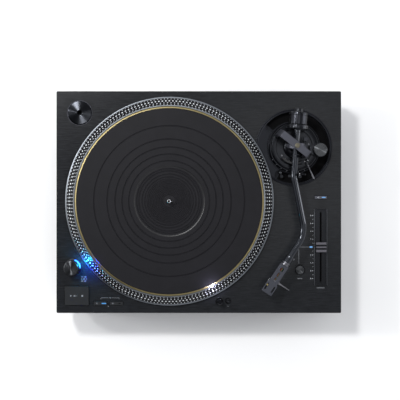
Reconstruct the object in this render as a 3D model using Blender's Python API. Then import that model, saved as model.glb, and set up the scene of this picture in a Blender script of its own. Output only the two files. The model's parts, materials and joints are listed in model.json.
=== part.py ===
"""Direct-drive turntable record player with an S-shaped tonearm, as separate parts at rest.

Frame: metres, +Z up, +X to the right and +Y to the back. The origin is on the surface that the
player stands on, under the middle of the plinth. Helper functions take millimetres.
"""

import math

import bmesh
import bpy
from mathutils import Matrix, Vector

MM = 0.001
GAP = 0.3  # clearance between pieces that rest on or run in each other

# ---------------------------------------------------------------- driving dimensions, in millimetres
PLINTH_W, PLINTH_D = 453.0, 353.0
FOOT_TOP = 33.7
TRAY_BOTTOM, TRAY_TOP = 34.0, 59.7
CHASSIS_BOTTOM, CHASSIS_TOP = 60.0, 93.7
SHELF_BOTTOM, SHELF_TOP = 82.0, 87.0
PANEL_BOTTOM, DECK = 94.0, 104.0

SPINDLE = (-46.5, 1.5)  # platter axis
PIVOT = (151.0, 86.8)  # tonearm's vertical axis, 215 mm from the spindle
EFFECTIVE_LENGTH = 230.0  # pivot to stylus
OFFSET_ANGLE = 22.0  # headshell's turn from the line between pivot and stylus
REST_ANGLE = 11.3  # that line's angle from -Y towards -X with the arm on its rest
TUBE_ANGLE = 4.2  # straight rear part of the tube, from -Y towards -X
MIDDLE_ANGLE = -11.2  # middle part of the S
BRIDGE_ANGLE = -38.5  # bearing bridge, from +X
ARM_Z = 144.0  # height of the tube's axis
TUBE_R = 5.0

PLATTER_R = 166.4
PLATTER_BOTTOM, PLATTER_LIP = 108.0, 122.3
MAT_R, MAT_BOTTOM, MAT_TOP = 147.3, 119.6, 122.6
BRASS_R, BRASS_BOTTOM, BRASS_TOP = 150.0, 116.8, 119.3
MOTOR_HOLE_R = 58.0

FLANGE_R, FLANGE_HOLE_R = 61.0, 59.3
TROUGH_R = (42.0, 57.0)
TROUGH_DEG = (-118.0, 139.0)  # from +X, between the centres of its round ends
TROUGH_FLOOR = 96.0
PEDESTAL_R, PEDESTAL_TOP = 36.5, 115.5
RECESS_FLOOR = 111.5

EP_ADAPTER = (-189.5, 142.0)
EP_R, EP_FLOOR = 18.7, 98.0
STROBE = (-200.2, -103.4)
STROBE_R = 12.2
START = (-194.0, -148.9)
START_SIZE = (38.2, 30.2)
SPEED_33, SPEED_45 = (-156.8, -161.1), (-131.2, -161.1)
SPEED_SIZE = (20.9, 6.1)
LAMP, LAMP_BUTTON = (33.2, -157.4), (46.6, -157.4)
LAMP_R, LAMP_TRAVEL = 4.1, 19.5
PITCH = (193.8, -71.5)
PITCH_PLATE = (19.6, 121.4)
PITCH_SLIT = (3.0, 111.0)
RESET = (160.8, -108.0)
RANGE_BUTTON = (194.0, 7.5)
RANGE_SIZE = (19.3, 4.8)
FEET = [(-178.0, -128.0), (178.0, -128.0), (178.0, 128.0), (-178.0, 128.0)]
TERMINALS_X = (95.5, 194.5)
INLET_X = (-190.0, -162.0)
TERMINAL_Z = (61.5, 80.5)
REAR = PLINTH_D / 2

ANTISKATE = (39.0, -5.1)  # dial's axis, from the tonearm's pivot
CUE_POST = (11.5, -24.1)
CUE_HUB_REACH, CUE_HUB_Z = 6.3, 125.5  # lever's hub, out from the post along its shaft
CUE_AXIS_DEG = 19.7
REST_Y = (-48.6, -44.8)  # arm rest, along the tube
CLAMP_HINGE = (8.4, 146.6)  # across the tube and up
CLAMP_OPEN_DEG = 100.0
LOCK_PIVOT = (-19.0, -46.0)


# ---------------------------------------------------------------- tools
def material(name, color, roughness, metallic=0.0):
    made = bpy.data.materials.new(name)
    made.use_nodes = True
    shader = made.node_tree.nodes["Principled BSDF"]
    shader.inputs["Base Color"].default_value = (*color, 1.0)
    shader.inputs["Roughness"].default_value = roughness
    shader.inputs["Metallic"].default_value = metallic
    return made


def heading(degrees):
    """Unit vector at that angle from -Y towards -X."""
    a = math.radians(degrees)
    return Vector((-math.sin(a), -math.cos(a)))


def axis_empty(name, x, y, z=0.0, turn_deg=0.0):
    """An empty that parts are parented to, so that they are modelled in its own frame."""
    empty = bpy.data.objects.new(name, None)
    bpy.context.scene.collection.objects.link(empty)
    empty.location = Vector((x, y, z)) * MM
    empty.rotation_euler = (0.0, 0.0, math.radians(turn_deg))
    return empty


def finish_mesh(name, bm, look=None, at=(0, 0, 0), parent=None, smooth=True):
    """Turns a bmesh in millimetres into an object in metres."""
    bmesh.ops.remove_doubles(bm, verts=bm.verts, dist=1e-4)
    bmesh.ops.recalc_face_normals(bm, faces=bm.faces)
    bmesh.ops.scale(bm, vec=(MM, MM, MM), verts=bm.verts)
    mesh = bpy.data.meshes.new(name)
    bm.to_mesh(mesh)
    bm.free()
    if smooth:
        mesh.shade_smooth()
        mesh.set_sharp_from_angle(angle=math.radians(30))
    obj = bpy.data.objects.new(name, mesh)
    bpy.context.scene.collection.objects.link(obj)
    obj.location = Vector(at) * MM
    obj.parent = parent
    if look:
        mesh.materials.append(look)
    return obj


def lathe_bmesh(profile, segments, axis="Z"):
    """Spins (radius, height) points about an axis. A profile between two points at radius 0 stays open."""
    bm = bmesh.new()
    verts = [bm.verts.new((r, 0.0, h)) for r, h in profile]
    edges = [bm.edges.new(pair) for pair in zip(verts, verts[1:])]
    if profile[0][0] > 0 or profile[-1][0] > 0:
        edges.append(bm.edges.new((verts[-1], verts[0])))
    bmesh.ops.spin(bm, geom=verts + edges, cent=(0, 0, 0), axis=(0, 0, 1),
                   angle=2 * math.pi, steps=segments, use_merge=True)
    if axis == "Y":
        bmesh.ops.rotate(bm, verts=bm.verts, matrix=Matrix.Rotation(-math.pi / 2, 3, "X"))
    return bm


def lathe(name, profile, segments, look=None, at=(0, 0, 0), parent=None, axis="Z"):
    return finish_mesh(name, lathe_bmesh(profile, segments, axis), look, at, parent)


def disc(name, radius, low, high, segments=32, look=None, at=(0, 0), parent=None, axis="Z"):
    """A plain cylinder between two heights along its axis."""
    profile = [(0, low), (radius, low), (radius, high), (0, high)]
    return lathe(name, profile, segments, look, (*at, 0), parent, axis)


def ring(name, inner, outer, low, high, segments=32, look=None, at=(0, 0, 0), parent=None, axis="Z"):
    profile = [(inner, low), (outer, low), (outer, high), (inner, high)]
    return lathe(name, profile, segments, look, at, parent, axis)


def prism(name, outline, low, high, look=None, at=(0, 0, 0), parent=None, plane="XY"):
    """Extrudes an outline. plane XY rises along Z, and plane XZ runs along Y."""
    bm = bmesh.new()
    if plane == "XY":
        verts = [bm.verts.new((x, y, low)) for x, y in outline]
        step = (0, 0, high - low)
    else:
        verts = [bm.verts.new((x, low, z)) for x, z in outline]
        step = (0, high - low, 0)
    face = bm.faces.new(verts)
    grown = bmesh.ops.extrude_face_region(bm, geom=[face])["geom"]
    moved = [g for g in grown if isinstance(g, bmesh.types.BMVert)]
    bmesh.ops.translate(bm, vec=step, verts=moved)
    return finish_mesh(name, bm, look, at, parent)


def rounded(width, depth, radius, steps=2, centre=(0, 0)):
    """Outline of a rectangle with round corners."""
    points = []
    for sx, sy, start in ((1, 1, 0), (-1, 1, 90), (-1, -1, 180), (1, -1, 270)):
        for i in range(steps + 1):
            a = math.radians(start + 90 * i / steps)
            points.append((centre[0] + sx * (width / 2 - radius) + radius * math.cos(a),
                           centre[1] + sy * (depth / 2 - radius) + radius * math.sin(a)))
    return points


def block(name, x, y, z, look=None, at=(0, 0, 0), parent=None, radius=0.0):
    """A box from three (low, high) pairs, with its upright edges rounded."""
    width, depth = x[1] - x[0], y[1] - y[0]
    centre = ((x[0] + x[1]) / 2, (y[0] + y[1]) / 2)
    if radius:
        outline = rounded(width, depth, radius, centre=centre)
    else:
        outline = [(x[0], y[0]), (x[1], y[0]), (x[1], y[1]), (x[0], y[1])]
    return prism(name, outline, z[0], z[1], look, at, parent)


def arc(radius, start, end, steps, centre=(0, 0)):
    """Points on a circle between two angles in degrees, counter-clockwise from +X."""
    angles = [math.radians(start + (end - start) * i / steps) for i in range(steps + 1)]
    return [(centre[0] + radius * math.cos(a), centre[1] + radius * math.sin(a)) for a in angles]


def sector(inner, outer, start, end, steps):
    """Outline of a ring's sector with square ends."""
    return arc(outer, start, end, steps) + arc(inner, end, start, steps)


def sweep(name, path, radii, sides, look=None, parent=None, at=(0, 0, 0)):
    """A round bar along a path of (x, y, z) points, with its ends closed."""
    bm = bmesh.new()
    points = [Vector(p) for p in path]
    rings = []
    for i, point in enumerate(points):
        ahead = points[min(i + 1, len(points) - 1)] - points[max(i - 1, 0)]
        turn = ahead.to_track_quat("Z", "Y")
        rim = [turn @ Vector((radii[i] * math.cos(a), radii[i] * math.sin(a), 0)) + point
               for a in (2 * math.pi * k / sides for k in range(sides))]
        rings.append([bm.verts.new(v) for v in rim])
    for low, high in zip(rings, rings[1:]):
        for k in range(sides):
            bm.faces.new((low[k], low[(k + 1) % sides], high[(k + 1) % sides], high[k]))
    bm.faces.new(rings[0])
    bm.faces.new(rings[-1])
    return finish_mesh(name, bm, look, at, parent)


def boolean(target, tool, operation):
    """Cuts or joins with a helper object, which is left out of the model."""
    modifier = target.modifiers.new(tool.name, "BOOLEAN")
    modifier.operation = operation
    modifier.object = tool
    modifier.solver = "EXACT"
    tool.hide_render = True
    tool.display_type = "WIRE"


def cut(target, *tools):
    for tool in tools:
        boolean(target, tool, "DIFFERENCE")


def join(target, *tools):
    for tool in tools:
        boolean(target, tool, "UNION")


def rounded_path(corners, radii, steps):
    """Straight runs between corners, with each inner corner turned into an arc."""
    points = [corners[0]]
    for before, corner, after, radius in zip(corners, corners[1:], corners[2:], radii):
        back, ahead = (before - corner).normalized(), (after - corner).normalized()
        half = back.angle(ahead) / 2
        reach = radius / math.tan(half)
        centre = corner + (back + ahead).normalized() * (radius / math.sin(half))
        first, last = corner + back * reach - centre, corner + ahead * reach - centre
        span = first.angle_signed(last)
        for i in range(steps + 1):
            points.append(centre + Matrix.Rotation(-span * i / steps, 2) @ first)
    points.append(corners[-1])
    return points


# ---------------------------------------------------------------- materials
def looks():
    return {
        "brushed_black": material("brushed_black", (0.03, 0.031, 0.034), 0.38, 0.7),
        "chassis_black": material("chassis_black", (0.02, 0.02, 0.021), 0.5, 0.4),
        "base_rubber": material("base_rubber", (0.012, 0.012, 0.013), 0.75),
        "platter_silver": material("platter_silver", (0.62, 0.63, 0.65), 0.25, 1.0),
        "brass": material("brass", (0.72, 0.55, 0.28), 0.25, 1.0),
        "mat_rubber": material("mat_rubber", (0.035, 0.035, 0.038), 0.7),
        "steel": material("steel", (0.7, 0.7, 0.72), 0.2, 1.0),
        "black_metal": material("black_metal", (0.03, 0.03, 0.034), 0.3, 0.8),
        "black_plastic": material("black_plastic", (0.015, 0.015, 0.017), 0.45),
        "grey_metal": material("grey_metal", (0.09, 0.092, 0.105), 0.4, 0.6),
        "copper": material("copper", (0.75, 0.38, 0.2), 0.35, 1.0),
        "board_green": material("board_green", (0.03, 0.16, 0.07), 0.5),
        "magnet": material("magnet", (0.08, 0.08, 0.085), 0.5, 0.4),
        "blue_lens": material("blue_lens", (0.1, 0.35, 0.95), 0.15),
        "cartridge_black": material("cartridge_black", (0.02, 0.02, 0.022), 0.35),
    }


# ---------------------------------------------------------------- plinth
def build_top_panel(look):
    panel = prism("top_panel", rounded(PLINTH_W, PLINTH_D, 2.0), PANEL_BOTTOM, DECK, look)
    low, high = PANEL_BOTTOM - 1, DECK + 1
    holes = [
        disc("motor_hole", MOTOR_HOLE_R, low, high, 48, at=SPINDLE),
        disc("flange_hole", FLANGE_HOLE_R, low, high, 48, at=PIVOT),
        disc("adapter_recess", EP_R + 0.9, EP_FLOOR, high, 32, at=EP_ADAPTER),
        disc("strobe_hole", 9.0, low, high, 16, at=STROBE),
        disc("lamp_hole", 6.3, low, high, 16, at=LAMP),
        disc("lamp_button_hole", 4.6, low, high, 16, at=LAMP_BUTTON),
        disc("reset_hole", 8.2, low, high, 20, at=RESET),
    ]
    for name, centre, size in (("start_hole", START, START_SIZE), ("hole_33", SPEED_33, SPEED_SIZE),
                               ("hole_45", SPEED_45, SPEED_SIZE), ("range_hole", RANGE_BUTTON, RANGE_SIZE),
                               ("pitch_hole", PITCH, (15.8, 117.4))):
        outline = rounded(size[0] + 0.8, size[1] + 0.8, 0.8, 2)
        holes.append(prism(name, outline, low, high, at=(*centre, 0)))
    cut(panel, *holes)


def build_chassis(look):
    """Die-cast frame: an outer wall with a shelf between two open halves."""
    chassis = prism("chassis", rounded(PLINTH_W, PLINTH_D, 2.0), CHASSIS_BOTTOM, CHASSIS_TOP, look)
    wall = 7.0
    inner = rounded(PLINTH_W - 2 * wall, PLINTH_D - 2 * wall, 4.0)
    upper = prism("upper_bay", inner, SHELF_TOP, CHASSIS_TOP + 1)
    lower = prism("lower_bay", inner, CHASSIS_BOTTOM - 1, SHELF_BOTTOM)
    holes = [
        disc("bearing_hole", 9.4, SHELF_BOTTOM - 1, SHELF_TOP + 1, 20, at=SPINDLE),
        disc("column_hole", 24.0, SHELF_BOTTOM - 1, SHELF_TOP + 1, 24, at=PIVOT),
        disc("sleeve_hole", 6.8, SHELF_BOTTOM - 1, SHELF_TOP + 1, 16, at=LAMP),
    ]
    rear = (REAR - wall - 1, REAR + 1)
    low, high = TERMINAL_Z[0] - 0.5, TERMINAL_Z[1] + 0.5
    for name, span in (("terminal_cutout", TERMINALS_X), ("inlet_cutout", INLET_X)):
        holes.append(block(name, (span[0] - 0.5, span[1] + 0.5), rear, (low, high)))
    cut(chassis, upper, lower, *holes)
    bosses = [disc(f"supply_boss_{i}", 4.0, 69.9, SHELF_BOTTOM + 1, 8, at=spot)
              for i, spot in enumerate(((-188, 62), (-98, 62), (-188, 128), (-98, 128)))]
    join(chassis, *bosses)


def build_base_tray(look):
    tray = prism("base_tray", rounded(PLINTH_W - 6, PLINTH_D - 6, 6.0), TRAY_BOTTOM, TRAY_TOP, look)
    bay = prism("tray_bay", rounded(PLINTH_W - 20, PLINTH_D - 20, 4.0), TRAY_BOTTOM + 6, TRAY_TOP + 1)
    cut(tray, bay)
    join(tray, *[disc(f"foot_boss_{i}", 12.0, TRAY_BOTTOM + 4, 56.0, 12, at=spot)
                 for i, spot in enumerate(FEET)])
    cut(tray, *[disc(f"stud_hole_{i}", 5.3, TRAY_BOTTOM - 1, 53.0, 12, at=spot)
                for i, spot in enumerate(FEET)])


def build_feet(look):
    """Each foot is a wide cup on a levelling stud."""
    profile = [(0, 0), (26, 0), (28, 2), (30, 8), (30, 26), (14, 31), (14, FOOT_TOP), (5, FOOT_TOP),
               (5, 52), (0, 52)]
    for i, spot in enumerate(FEET, 1):
        lathe(f"foot_{i}", profile, 20, look, (*spot, 0))


def build_electronics(board, metal, plastic):
    controls = block("control_board", (-218, -110), (-167, -128), (87.3, 88.9), board)
    for i, (x, y) in enumerate((START, SPEED_33, SPEED_45)):
        join(controls, block(f"switch_{i}", (x - 3, x + 3), (y - 3, y + 3), (88, 91)))

    supply = block("power_supply_board", (-194, -92), (56, 134), (68.0, 69.6), board)
    join(supply,
         block("supply_transformer", (-178, -146), (72, 104), (48, 68.5)),
         block("supply_heatsink", (-120, -112), (66, 124), (50, 68.5)),
         disc("supply_capacitor", 9.0, 46, 68.5, 12, at=(-134, 92)))

    z = TERMINAL_Z
    housing = block("terminal_housing", TERMINALS_X, (146, 176), z, plastic)
    cut(housing, block("terminal_bay", (TERMINALS_X[0] + 2, TERMINALS_X[1] - 2), (148, 180),
                       (z[0] + 2, z[1] - 2)))
    middle = (z[0] + z[1]) / 2
    jack = [(1.7, 148.3), (6.0, 148.3), (6.0, 150), (4.15, 150), (4.15, 160), (1.7, 160)]
    for name, x in (("phono_jack_left", 128.0), ("phono_jack_right", 146.0)):
        lathe(name, jack, 14, metal, (x, 0, middle), axis="Y")
    post = [(0, 148.3), (5, 148.3), (5, 150), (2, 150), (2, 151.5), (4.6, 151.5), (4.6, 158), (0, 158)]
    lathe("ground_terminal", post, 14, metal, (172, 0, middle), axis="Y")

    inlet = block("ac_inlet", INLET_X, (150, 176.2), z, plastic)
    cut(inlet, block("inlet_socket", (INLET_X[0] + 3, INLET_X[1] - 3), (160, 180),
                     (z[0] + 2.7, z[1] - 2.7)))


# ---------------------------------------------------------------- motor and platter
def build_motor(coil, board, metal):
    axis = axis_empty("motor_axis", *SPINDLE)
    lathe("bearing_housing",
          [(0, 50), (9, 50), (9, 87.3), (22, 87.3), (22, 90.3), (9, 90.3), (9, 103), (4.3, 103),
           (4.3, 55.6), (0, 55.6)], 20, metal, parent=axis)
    ring("motor_board", 9.6, 54, 90.6, 92.2, 32, board, parent=axis)
    stator = ring("stator", 9.6, 20, 93, 101, 18, coil, parent=axis)
    poles = 9
    for i in range(poles):
        pole = block(f"pole_{i}", (18, 39), (-4.2, 4.2), (93.5, 100.5), parent=axis)
        pole.rotation_euler = (0, 0, 2 * math.pi * i / poles)
        join(stator, pole)


def build_platter(looks_by_name):
    axis = axis_empty("platter_axis", *SPINDLE)
    lathe("platter",
          [(7.4, 109.5), (16, 109.5), (20, 112), (157.5, 112), (160.5, PLATTER_BOTTOM),
           (PLATTER_R, PLATTER_BOTTOM), (PLATTER_R, 109.4), (165.2, 109.8), (152.8, PLATTER_LIP),
           (150.3, PLATTER_LIP), (150.3, 116.5), (7.4, 116.5)],
          64, looks_by_name["platter_silver"], parent=axis)
    ring("platter_brass_plate", 12, BRASS_R, BRASS_BOTTOM, BRASS_TOP, 64, looks_by_name["brass"],
         parent=axis)
    ring("platter_mat", 3.95, MAT_R, MAT_BOTTOM, MAT_TOP, 64, looks_by_name["mat_rubber"], parent=axis)
    lathe("spindle",
          [(0, 56), (4, 56), (4, 105), (11, 105), (11, 109.2), (7, 109.2), (7, 116.2), (3.6, 116.4),
           (3.6, 134.5), (2.9, 136.1), (1.8, 136.6), (0, 136.6)], 16, looks_by_name["steel"], parent=axis)
    ring("rotor_magnet", 41, 54, 97, 111.7, 32, looks_by_name["magnet"], parent=axis)


# ---------------------------------------------------------------- controls on the deck
def build_buttons(metal, plastic):
    lathe("ep_adapter", [(3.7, EP_FLOOR + GAP), (18.2, EP_FLOOR + GAP), (EP_R, 99), (EP_R, 105.6),
                         (17.6, 106.8), (3.9, 107.6), (3.7, 107.4)], 28, metal, (*EP_ADAPTER, 0))
    for name, centre, size, low, high, look in (
            ("start_stop_button", START, START_SIZE, 93, 106.4, plastic),
            ("speed_button_33", SPEED_33, SPEED_SIZE, 92.5, 105.4, plastic),
            ("speed_button_45", SPEED_45, SPEED_SIZE, 92.5, 105.4, plastic),
            ("pitch_range_button", RANGE_BUTTON, RANGE_SIZE, 96, 105.3, plastic)):
        outline = rounded(size[0], size[1], 0.6, 2)
        prism(name, outline, low, high, look, (*centre, 0))
    lathe("reset_button", [(0, 97), (6.9, 97), (6.9, 105.9), (6.5, 106.3), (0, 106.3)], 20, metal,
          (*RESET, 0))
    lathe("lamp_button", [(0, 97), (3.6, 97), (3.6, 104.6), (3.2, 105), (0, 105)], 14, plastic,
          (*LAMP_BUTTON, 0))


def build_target_lamp(metal, plastic):
    """Pop-up stylus light in its guide, shown raised."""
    lathe("lamp_sleeve", [(4.5, 78), (6.0, 78), (6.0, 104.3), (6.9, 104.3), (6.9, 105), (4.5, 105)],
          16, plastic, (*LAMP, 0))
    lathe("target_lamp", [(0, 98.5), (LAMP_R, 98.5), (LAMP_R, 122.6), (3.4, 124), (0, 124)], 16,
          metal, (*LAMP, 0))


def build_strobe(metal, plastic, lens):
    """Tower beside the platter: a blue window that lights the rim's dots, with the power knob on top."""
    facing = math.degrees(math.atan2(SPINDLE[1] - STROBE[1], SPINDLE[0] - STROBE[0]))
    axis = axis_empty("strobe_axis", *STROBE, turn_deg=facing)
    tower = lathe("strobe_housing",
                  [(0, 92), (8.6, 92), (8.6, 104.3), (13.4, 104.3), (13.4, 105.3), (STROBE_R, 105.6),
                   (STROBE_R, 121), (0, 121)], 24, plastic, parent=axis)
    half_span = 40
    cut(tower, prism("window_slot", sector(9.6, 20, -half_span, half_span, 6), 105.7, 117.3, parent=axis))
    prism("strobe_window", sector(9.9, STROBE_R, 2 - half_span, half_span - 2, 6), 106, 117, lens,
          parent=axis)
    lathe("power_knob", [(0, 121.3), (11.4, 121.3), (11.4, 129.6), (9.9, 131), (0, 131)], 24, metal,
          parent=axis)


def build_pitch_control(plastic, metal):
    at = (*PITCH, 0)
    plate = prism("pitch_plate", rounded(*PITCH_PLATE, 1.0, 2), DECK + GAP, 106.2, plastic, at)
    cut(plate,
        prism("plate_channel", rounded(16.0, 118.0, 1.0, 2), 105.2, 108, at=at),
        prism("plate_slit", rounded(*PITCH_SLIT, 1.4, 3), 103, 108, at=at))
    fader = block("pitch_fader", (-7.8, 7.8), (-58.3, 58.3), (SHELF_TOP + GAP, 103.9), metal, at)
    cut(fader, block("fader_groove", (-1.6, 1.6), (-55.5, 55.5), (94, 106), at=at))
    knob = block("pitch_knob", (-9.0, 9.0), (-8.3, 8.3), (106.6, 112.6), plastic, at, radius=1.0)
    join(knob, block("knob_stem", (-1.0, 1.0), (-3, 3), (96, 107), at=at))


# ---------------------------------------------------------------- tonearm base
def build_arm_flange(look):
    """Deck-mounted dish with a finger trough round the height ring."""
    axis = axis_empty("flange_axis", *PIVOT)
    flange = lathe("arm_base_flange",
                   [(20, 90), (59, 90), (59, DECK + GAP), (FLANGE_R, DECK + GAP), (FLANGE_R, 106),
                    (60.5, 106.5), (43, 106.5), (43, 105.5), (20, 105.5)], 48, look, parent=axis)
    middle, half_width = sum(TROUGH_R) / 2, (TROUGH_R[1] - TROUGH_R[0]) / 2
    low, high = TROUGH_FLOOR, 110
    cut(flange, prism("finger_trough", sector(*TROUGH_R, *TROUGH_DEG, 24), low, high, parent=axis))
    for i, angle in enumerate(map(math.radians, TROUGH_DEG)):
        end = (middle * math.cos(angle), middle * math.sin(angle))
        cut(flange, disc(f"trough_end_{i}", half_width, low, high, 20, at=end, parent=axis))
    lathe("height_ring", [(36.9, 105.8), (41, 105.8), (41, 110), (38.3, 114), (36.9, 114)], 40, look,
          parent=axis)


def build_lock_lever(metal):
    axis = axis_empty("lock_axis", PIVOT[0] + LOCK_PIVOT[0], PIVOT[1] + LOCK_PIVOT[1], turn_deg=110)
    lever = disc("height_lock_lever", 2.8, 96.3, 103, 12, metal, parent=axis)
    join(lever,
         block("lever_tab", (0, 6.5), (-1.4, 1.4), (100, 102.8), parent=axis),
         disc("lever_knob", 2.1, 101, 108.5, 10, at=(6.5, 0), parent=axis))


def build_pedestal(look, metal, brass):
    axis = axis_empty("pedestal_axis", *PIVOT)
    lathe("arm_pedestal",
          [(0, 70), (19.6, 70), (19.6, 105.9), (PEDESTAL_R, 105.9), (PEDESTAL_R, 114.5),
           (35.5, PEDESTAL_TOP), (32, PEDESTAL_TOP), (32, 114.5), (28.7, 114.5), (28.7, RECESS_FLOOR),
           (17, RECESS_FLOOR), (16.6, 119), (14, 121.5), (6, 123), (5, 130.2), (0, 130.2)], 32, look,
          parent=axis)

    across = axis_empty("bridge_line", *PIVOT, turn_deg=BRIDGE_ANGLE)
    half_width = 5.45
    bridge = prism("gimbal_bridge",
                   [(-35.7, 115.8), (-30.7, 115.8), (-30.7, 149), (-26.5, 158), (17.6, 158), (17.6, 111.8),
                    (22.6, 111.8), (22.6, 161.2), (21.8, 162), (-28.8, 162), (-35.7, 150)],
                   -half_width, half_width, metal, parent=across, plane="XZ")
    cut(bridge, disc("screw_hole", 2.6, 150, 170, 14, parent=across))
    lathe("top_pivot_screw",
          [(0, 157.8), (1.2, 158.0), (2.3, 159.2), (2.3, 162.3), (3.9, 162.3), (3.9, 163.6),
           (3.5, 164), (0, 164)],
          14, brass, parent=across)


def build_antiskate(look, metal):
    axis = axis_empty("antiskate_axis", PIVOT[0] + ANTISKATE[0], PIVOT[1] + ANTISKATE[1])
    prism("antiskate_housing", arc(11, -100, 100, 12) + [(-16, 7.5), (-16, -5)], 115.8, 125, look,
          parent=axis)
    lathe("antiskate_dial", [(0, 125.3), (10.6, 125.3), (10.6, 133.2), (9.8, 134), (0, 134)], 24, metal,
          parent=axis)


def build_cueing(look, metal):
    """Oil-damped lifter: a lever raises the curved bar under the tube."""
    post_at = (PIVOT[0] + CUE_POST[0], PIVOT[1] + CUE_POST[1])
    post = axis_empty("cue_post_axis", *post_at, turn_deg=CUE_AXIS_DEG)
    cylinder = ring("cue_cylinder", 1.7, 3.6, 114.8, 129.5, 14, look, parent=post)
    join(cylinder,
         disc("cylinder_floor", 3.0, 114.8, 117.5, 14, parent=post),
         disc("cylinder_foot", 1.7, RECESS_FLOOR + GAP, 116, 10, parent=post),
         disc("lever_shaft", 1.0, 2.6, 9.6, 8, parent=turned_about_y(post, CUE_HUB_Z)))

    pivot = axis_empty("cue_arc_axis", *PIVOT)
    lifter = prism("cue_lifter", sector(24.4, 28.0, -140, -60, 10), 131, 132.6, metal, parent=pivot)
    join(lifter, disc("lifter_rod", 1.4, 119, 131.8, 10, parent=post))

    turn = math.radians(CUE_AXIS_DEG)
    hub_axis = axis_empty("cue_hub_axis", post_at[0] + CUE_HUB_REACH * math.cos(turn),
                          post_at[1] + CUE_HUB_REACH * math.sin(turn), CUE_HUB_Z, CUE_AXIS_DEG)
    lever = finish_mesh("cue_lever", hub_bmesh(1.3, 2.5, 4.2), metal, parent=hub_axis)
    arm = sweep("lever_arm", [(0, -1.9, 0.8), (0, -16, 8), (0, -23, 11.5), (0, -30.5, 15)],
                [0.8, 0.9, 1.4, 1.7], 10, parent=hub_axis)
    join(lever, arm)


def turned_about_y(parent, height):
    """A child empty whose Z axis runs along the parent's +X, at a height."""
    empty = bpy.data.objects.new(parent.name + "_sideways", None)
    bpy.context.scene.collection.objects.link(empty)
    empty.parent = parent
    empty.location = (0, 0, height * MM)
    empty.rotation_euler = (0, math.pi / 2, 0)
    return empty


def hub_bmesh(inner, outer, length):
    """A short tube about the X axis, centred on the origin."""
    half = length / 2
    bm = lathe_bmesh([(inner, -half), (outer, -half), (outer, half), (inner, half)], 14)
    bmesh.ops.rotate(bm, verts=bm.verts, matrix=Matrix.Rotation(math.pi / 2, 3, "Y"))
    return bm


def build_arm_rest(look, plastic):
    """Rest post with a one-sided cradle, and the clamp hook that folds over the tube."""
    line = axis_empty("rest_line", *PIVOT, turn_deg=-TUBE_ANGLE)
    rest = block("arm_rest", (-4, 4), (-49, -32), (115.8, 118.8), look, parent=line, radius=1.0)
    join(rest,
         block("rest_post", (-3.5, 3.5), (-48.8, -44.6), (118, 137), parent=line),
         block("rest_bar", (-8.5, 11), REST_Y, (136, ARM_Z - TUBE_R - GAP), parent=line),
         block("rest_wall", (6.2, 11), REST_Y, (137, CLAMP_HINGE[1] + 2), parent=line),
         disc("clamp_pin", 1.0, REST_Y[1] - 1, REST_Y[1] + 3, 10, parent=raised(line, CLAMP_HINGE),
              axis="Y"))

    hinge = raised(line, CLAMP_HINGE)
    hinge.rotation_euler = (0, math.radians(CLAMP_OPEN_DEG), 0)
    low, high = REST_Y[1] + 0.4, REST_Y[1] + 2.6
    hook = prism("arm_clamp",
                 [(1.6, 0), (1.6, 5.2), (-16, 5.2), (-16, -1), (-14.4, -1), (-14.4, 3.4), (-1.6, 3.4),
                  (-1.6, 0)], low, high, plastic, parent=hinge, plane="XZ")
    join(hook, disc("clamp_hub", 2.4, low, high, 14, parent=hinge, axis="Y"))
    cut(hook, disc("clamp_bore", 1.3, low - 1, high + 1, 10, parent=hinge, axis="Y"))


def raised(parent, hinge):
    """A child empty at (across, up) in the parent's frame."""
    empty = bpy.data.objects.new(parent.name + "_hinge", None)
    bpy.context.scene.collection.objects.link(empty)
    empty.parent = parent
    empty.location = (hinge[0] * MM, 0, hinge[1] * MM)
    return empty


# ---------------------------------------------------------------- tonearm
def arm_layout():
    """Corners of the tube's centre line, from behind the pivot to the headshell, relative to the pivot."""
    tube, middle = heading(TUBE_ANGLE), heading(MIDDLE_ANGLE)
    shell = heading(REST_ANGLE + OFFSET_ANGLE)
    stylus = heading(REST_ANGLE) * EFFECTIVE_LENGTH
    rear_end = tube * -50
    first = tube * 48
    # the middle run starts at the first bend and meets the headshell's line, carried back from the stylus
    cross = middle.x * shell.y - middle.y * shell.x
    to_stylus = stylus - first
    reach = (to_stylus.x * shell.y - to_stylus.y * shell.x) / cross
    second = first + middle * reach
    front_end = stylus - shell * 58
    return [rear_end, first, second, front_end], stylus


def build_gimbal(metal):
    line = axis_empty("gimbal_line", *PIVOT, ARM_Z, -TUBE_ANGLE)
    gimbal = ring("gimbal_ring", 10.8, 13.5, -4.5, 4.5, 24, metal, parent=line, axis="Y")
    for side, turn in (("left", -1), ("right", 1)):
        pin = bpy.data.objects.new(f"tilt_axis_{side}", None)
        bpy.context.scene.collection.objects.link(pin)
        pin.parent = line
        pin.rotation_euler = (0, turn * math.pi / 2, 0)
        join(gimbal,
             disc(f"tilt_pin_{side}", 1.6, 7.2, 12, 12, parent=pin),
             disc(f"tilt_cap_{side}", 3.0, 12.6, 14.6, 12, parent=pin))


def build_tube(metal):
    corners, _ = arm_layout()
    path = rounded_path([Vector(c) for c in corners], (38, 45), 5)
    pivot = axis_empty("arm_axis", *PIVOT, ARM_Z)
    tube = sweep("arm_tube", [(p.x, p.y, 0) for p in path], [TUBE_R] * len(path), 16, metal, parent=pivot)
    line = axis_empty("boss_line", *PIVOT, ARM_Z, -TUBE_ANGLE)
    join(tube, disc("tube_boss", 6.8, -5, 5, 16, parent=line, axis="Y"))


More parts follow.
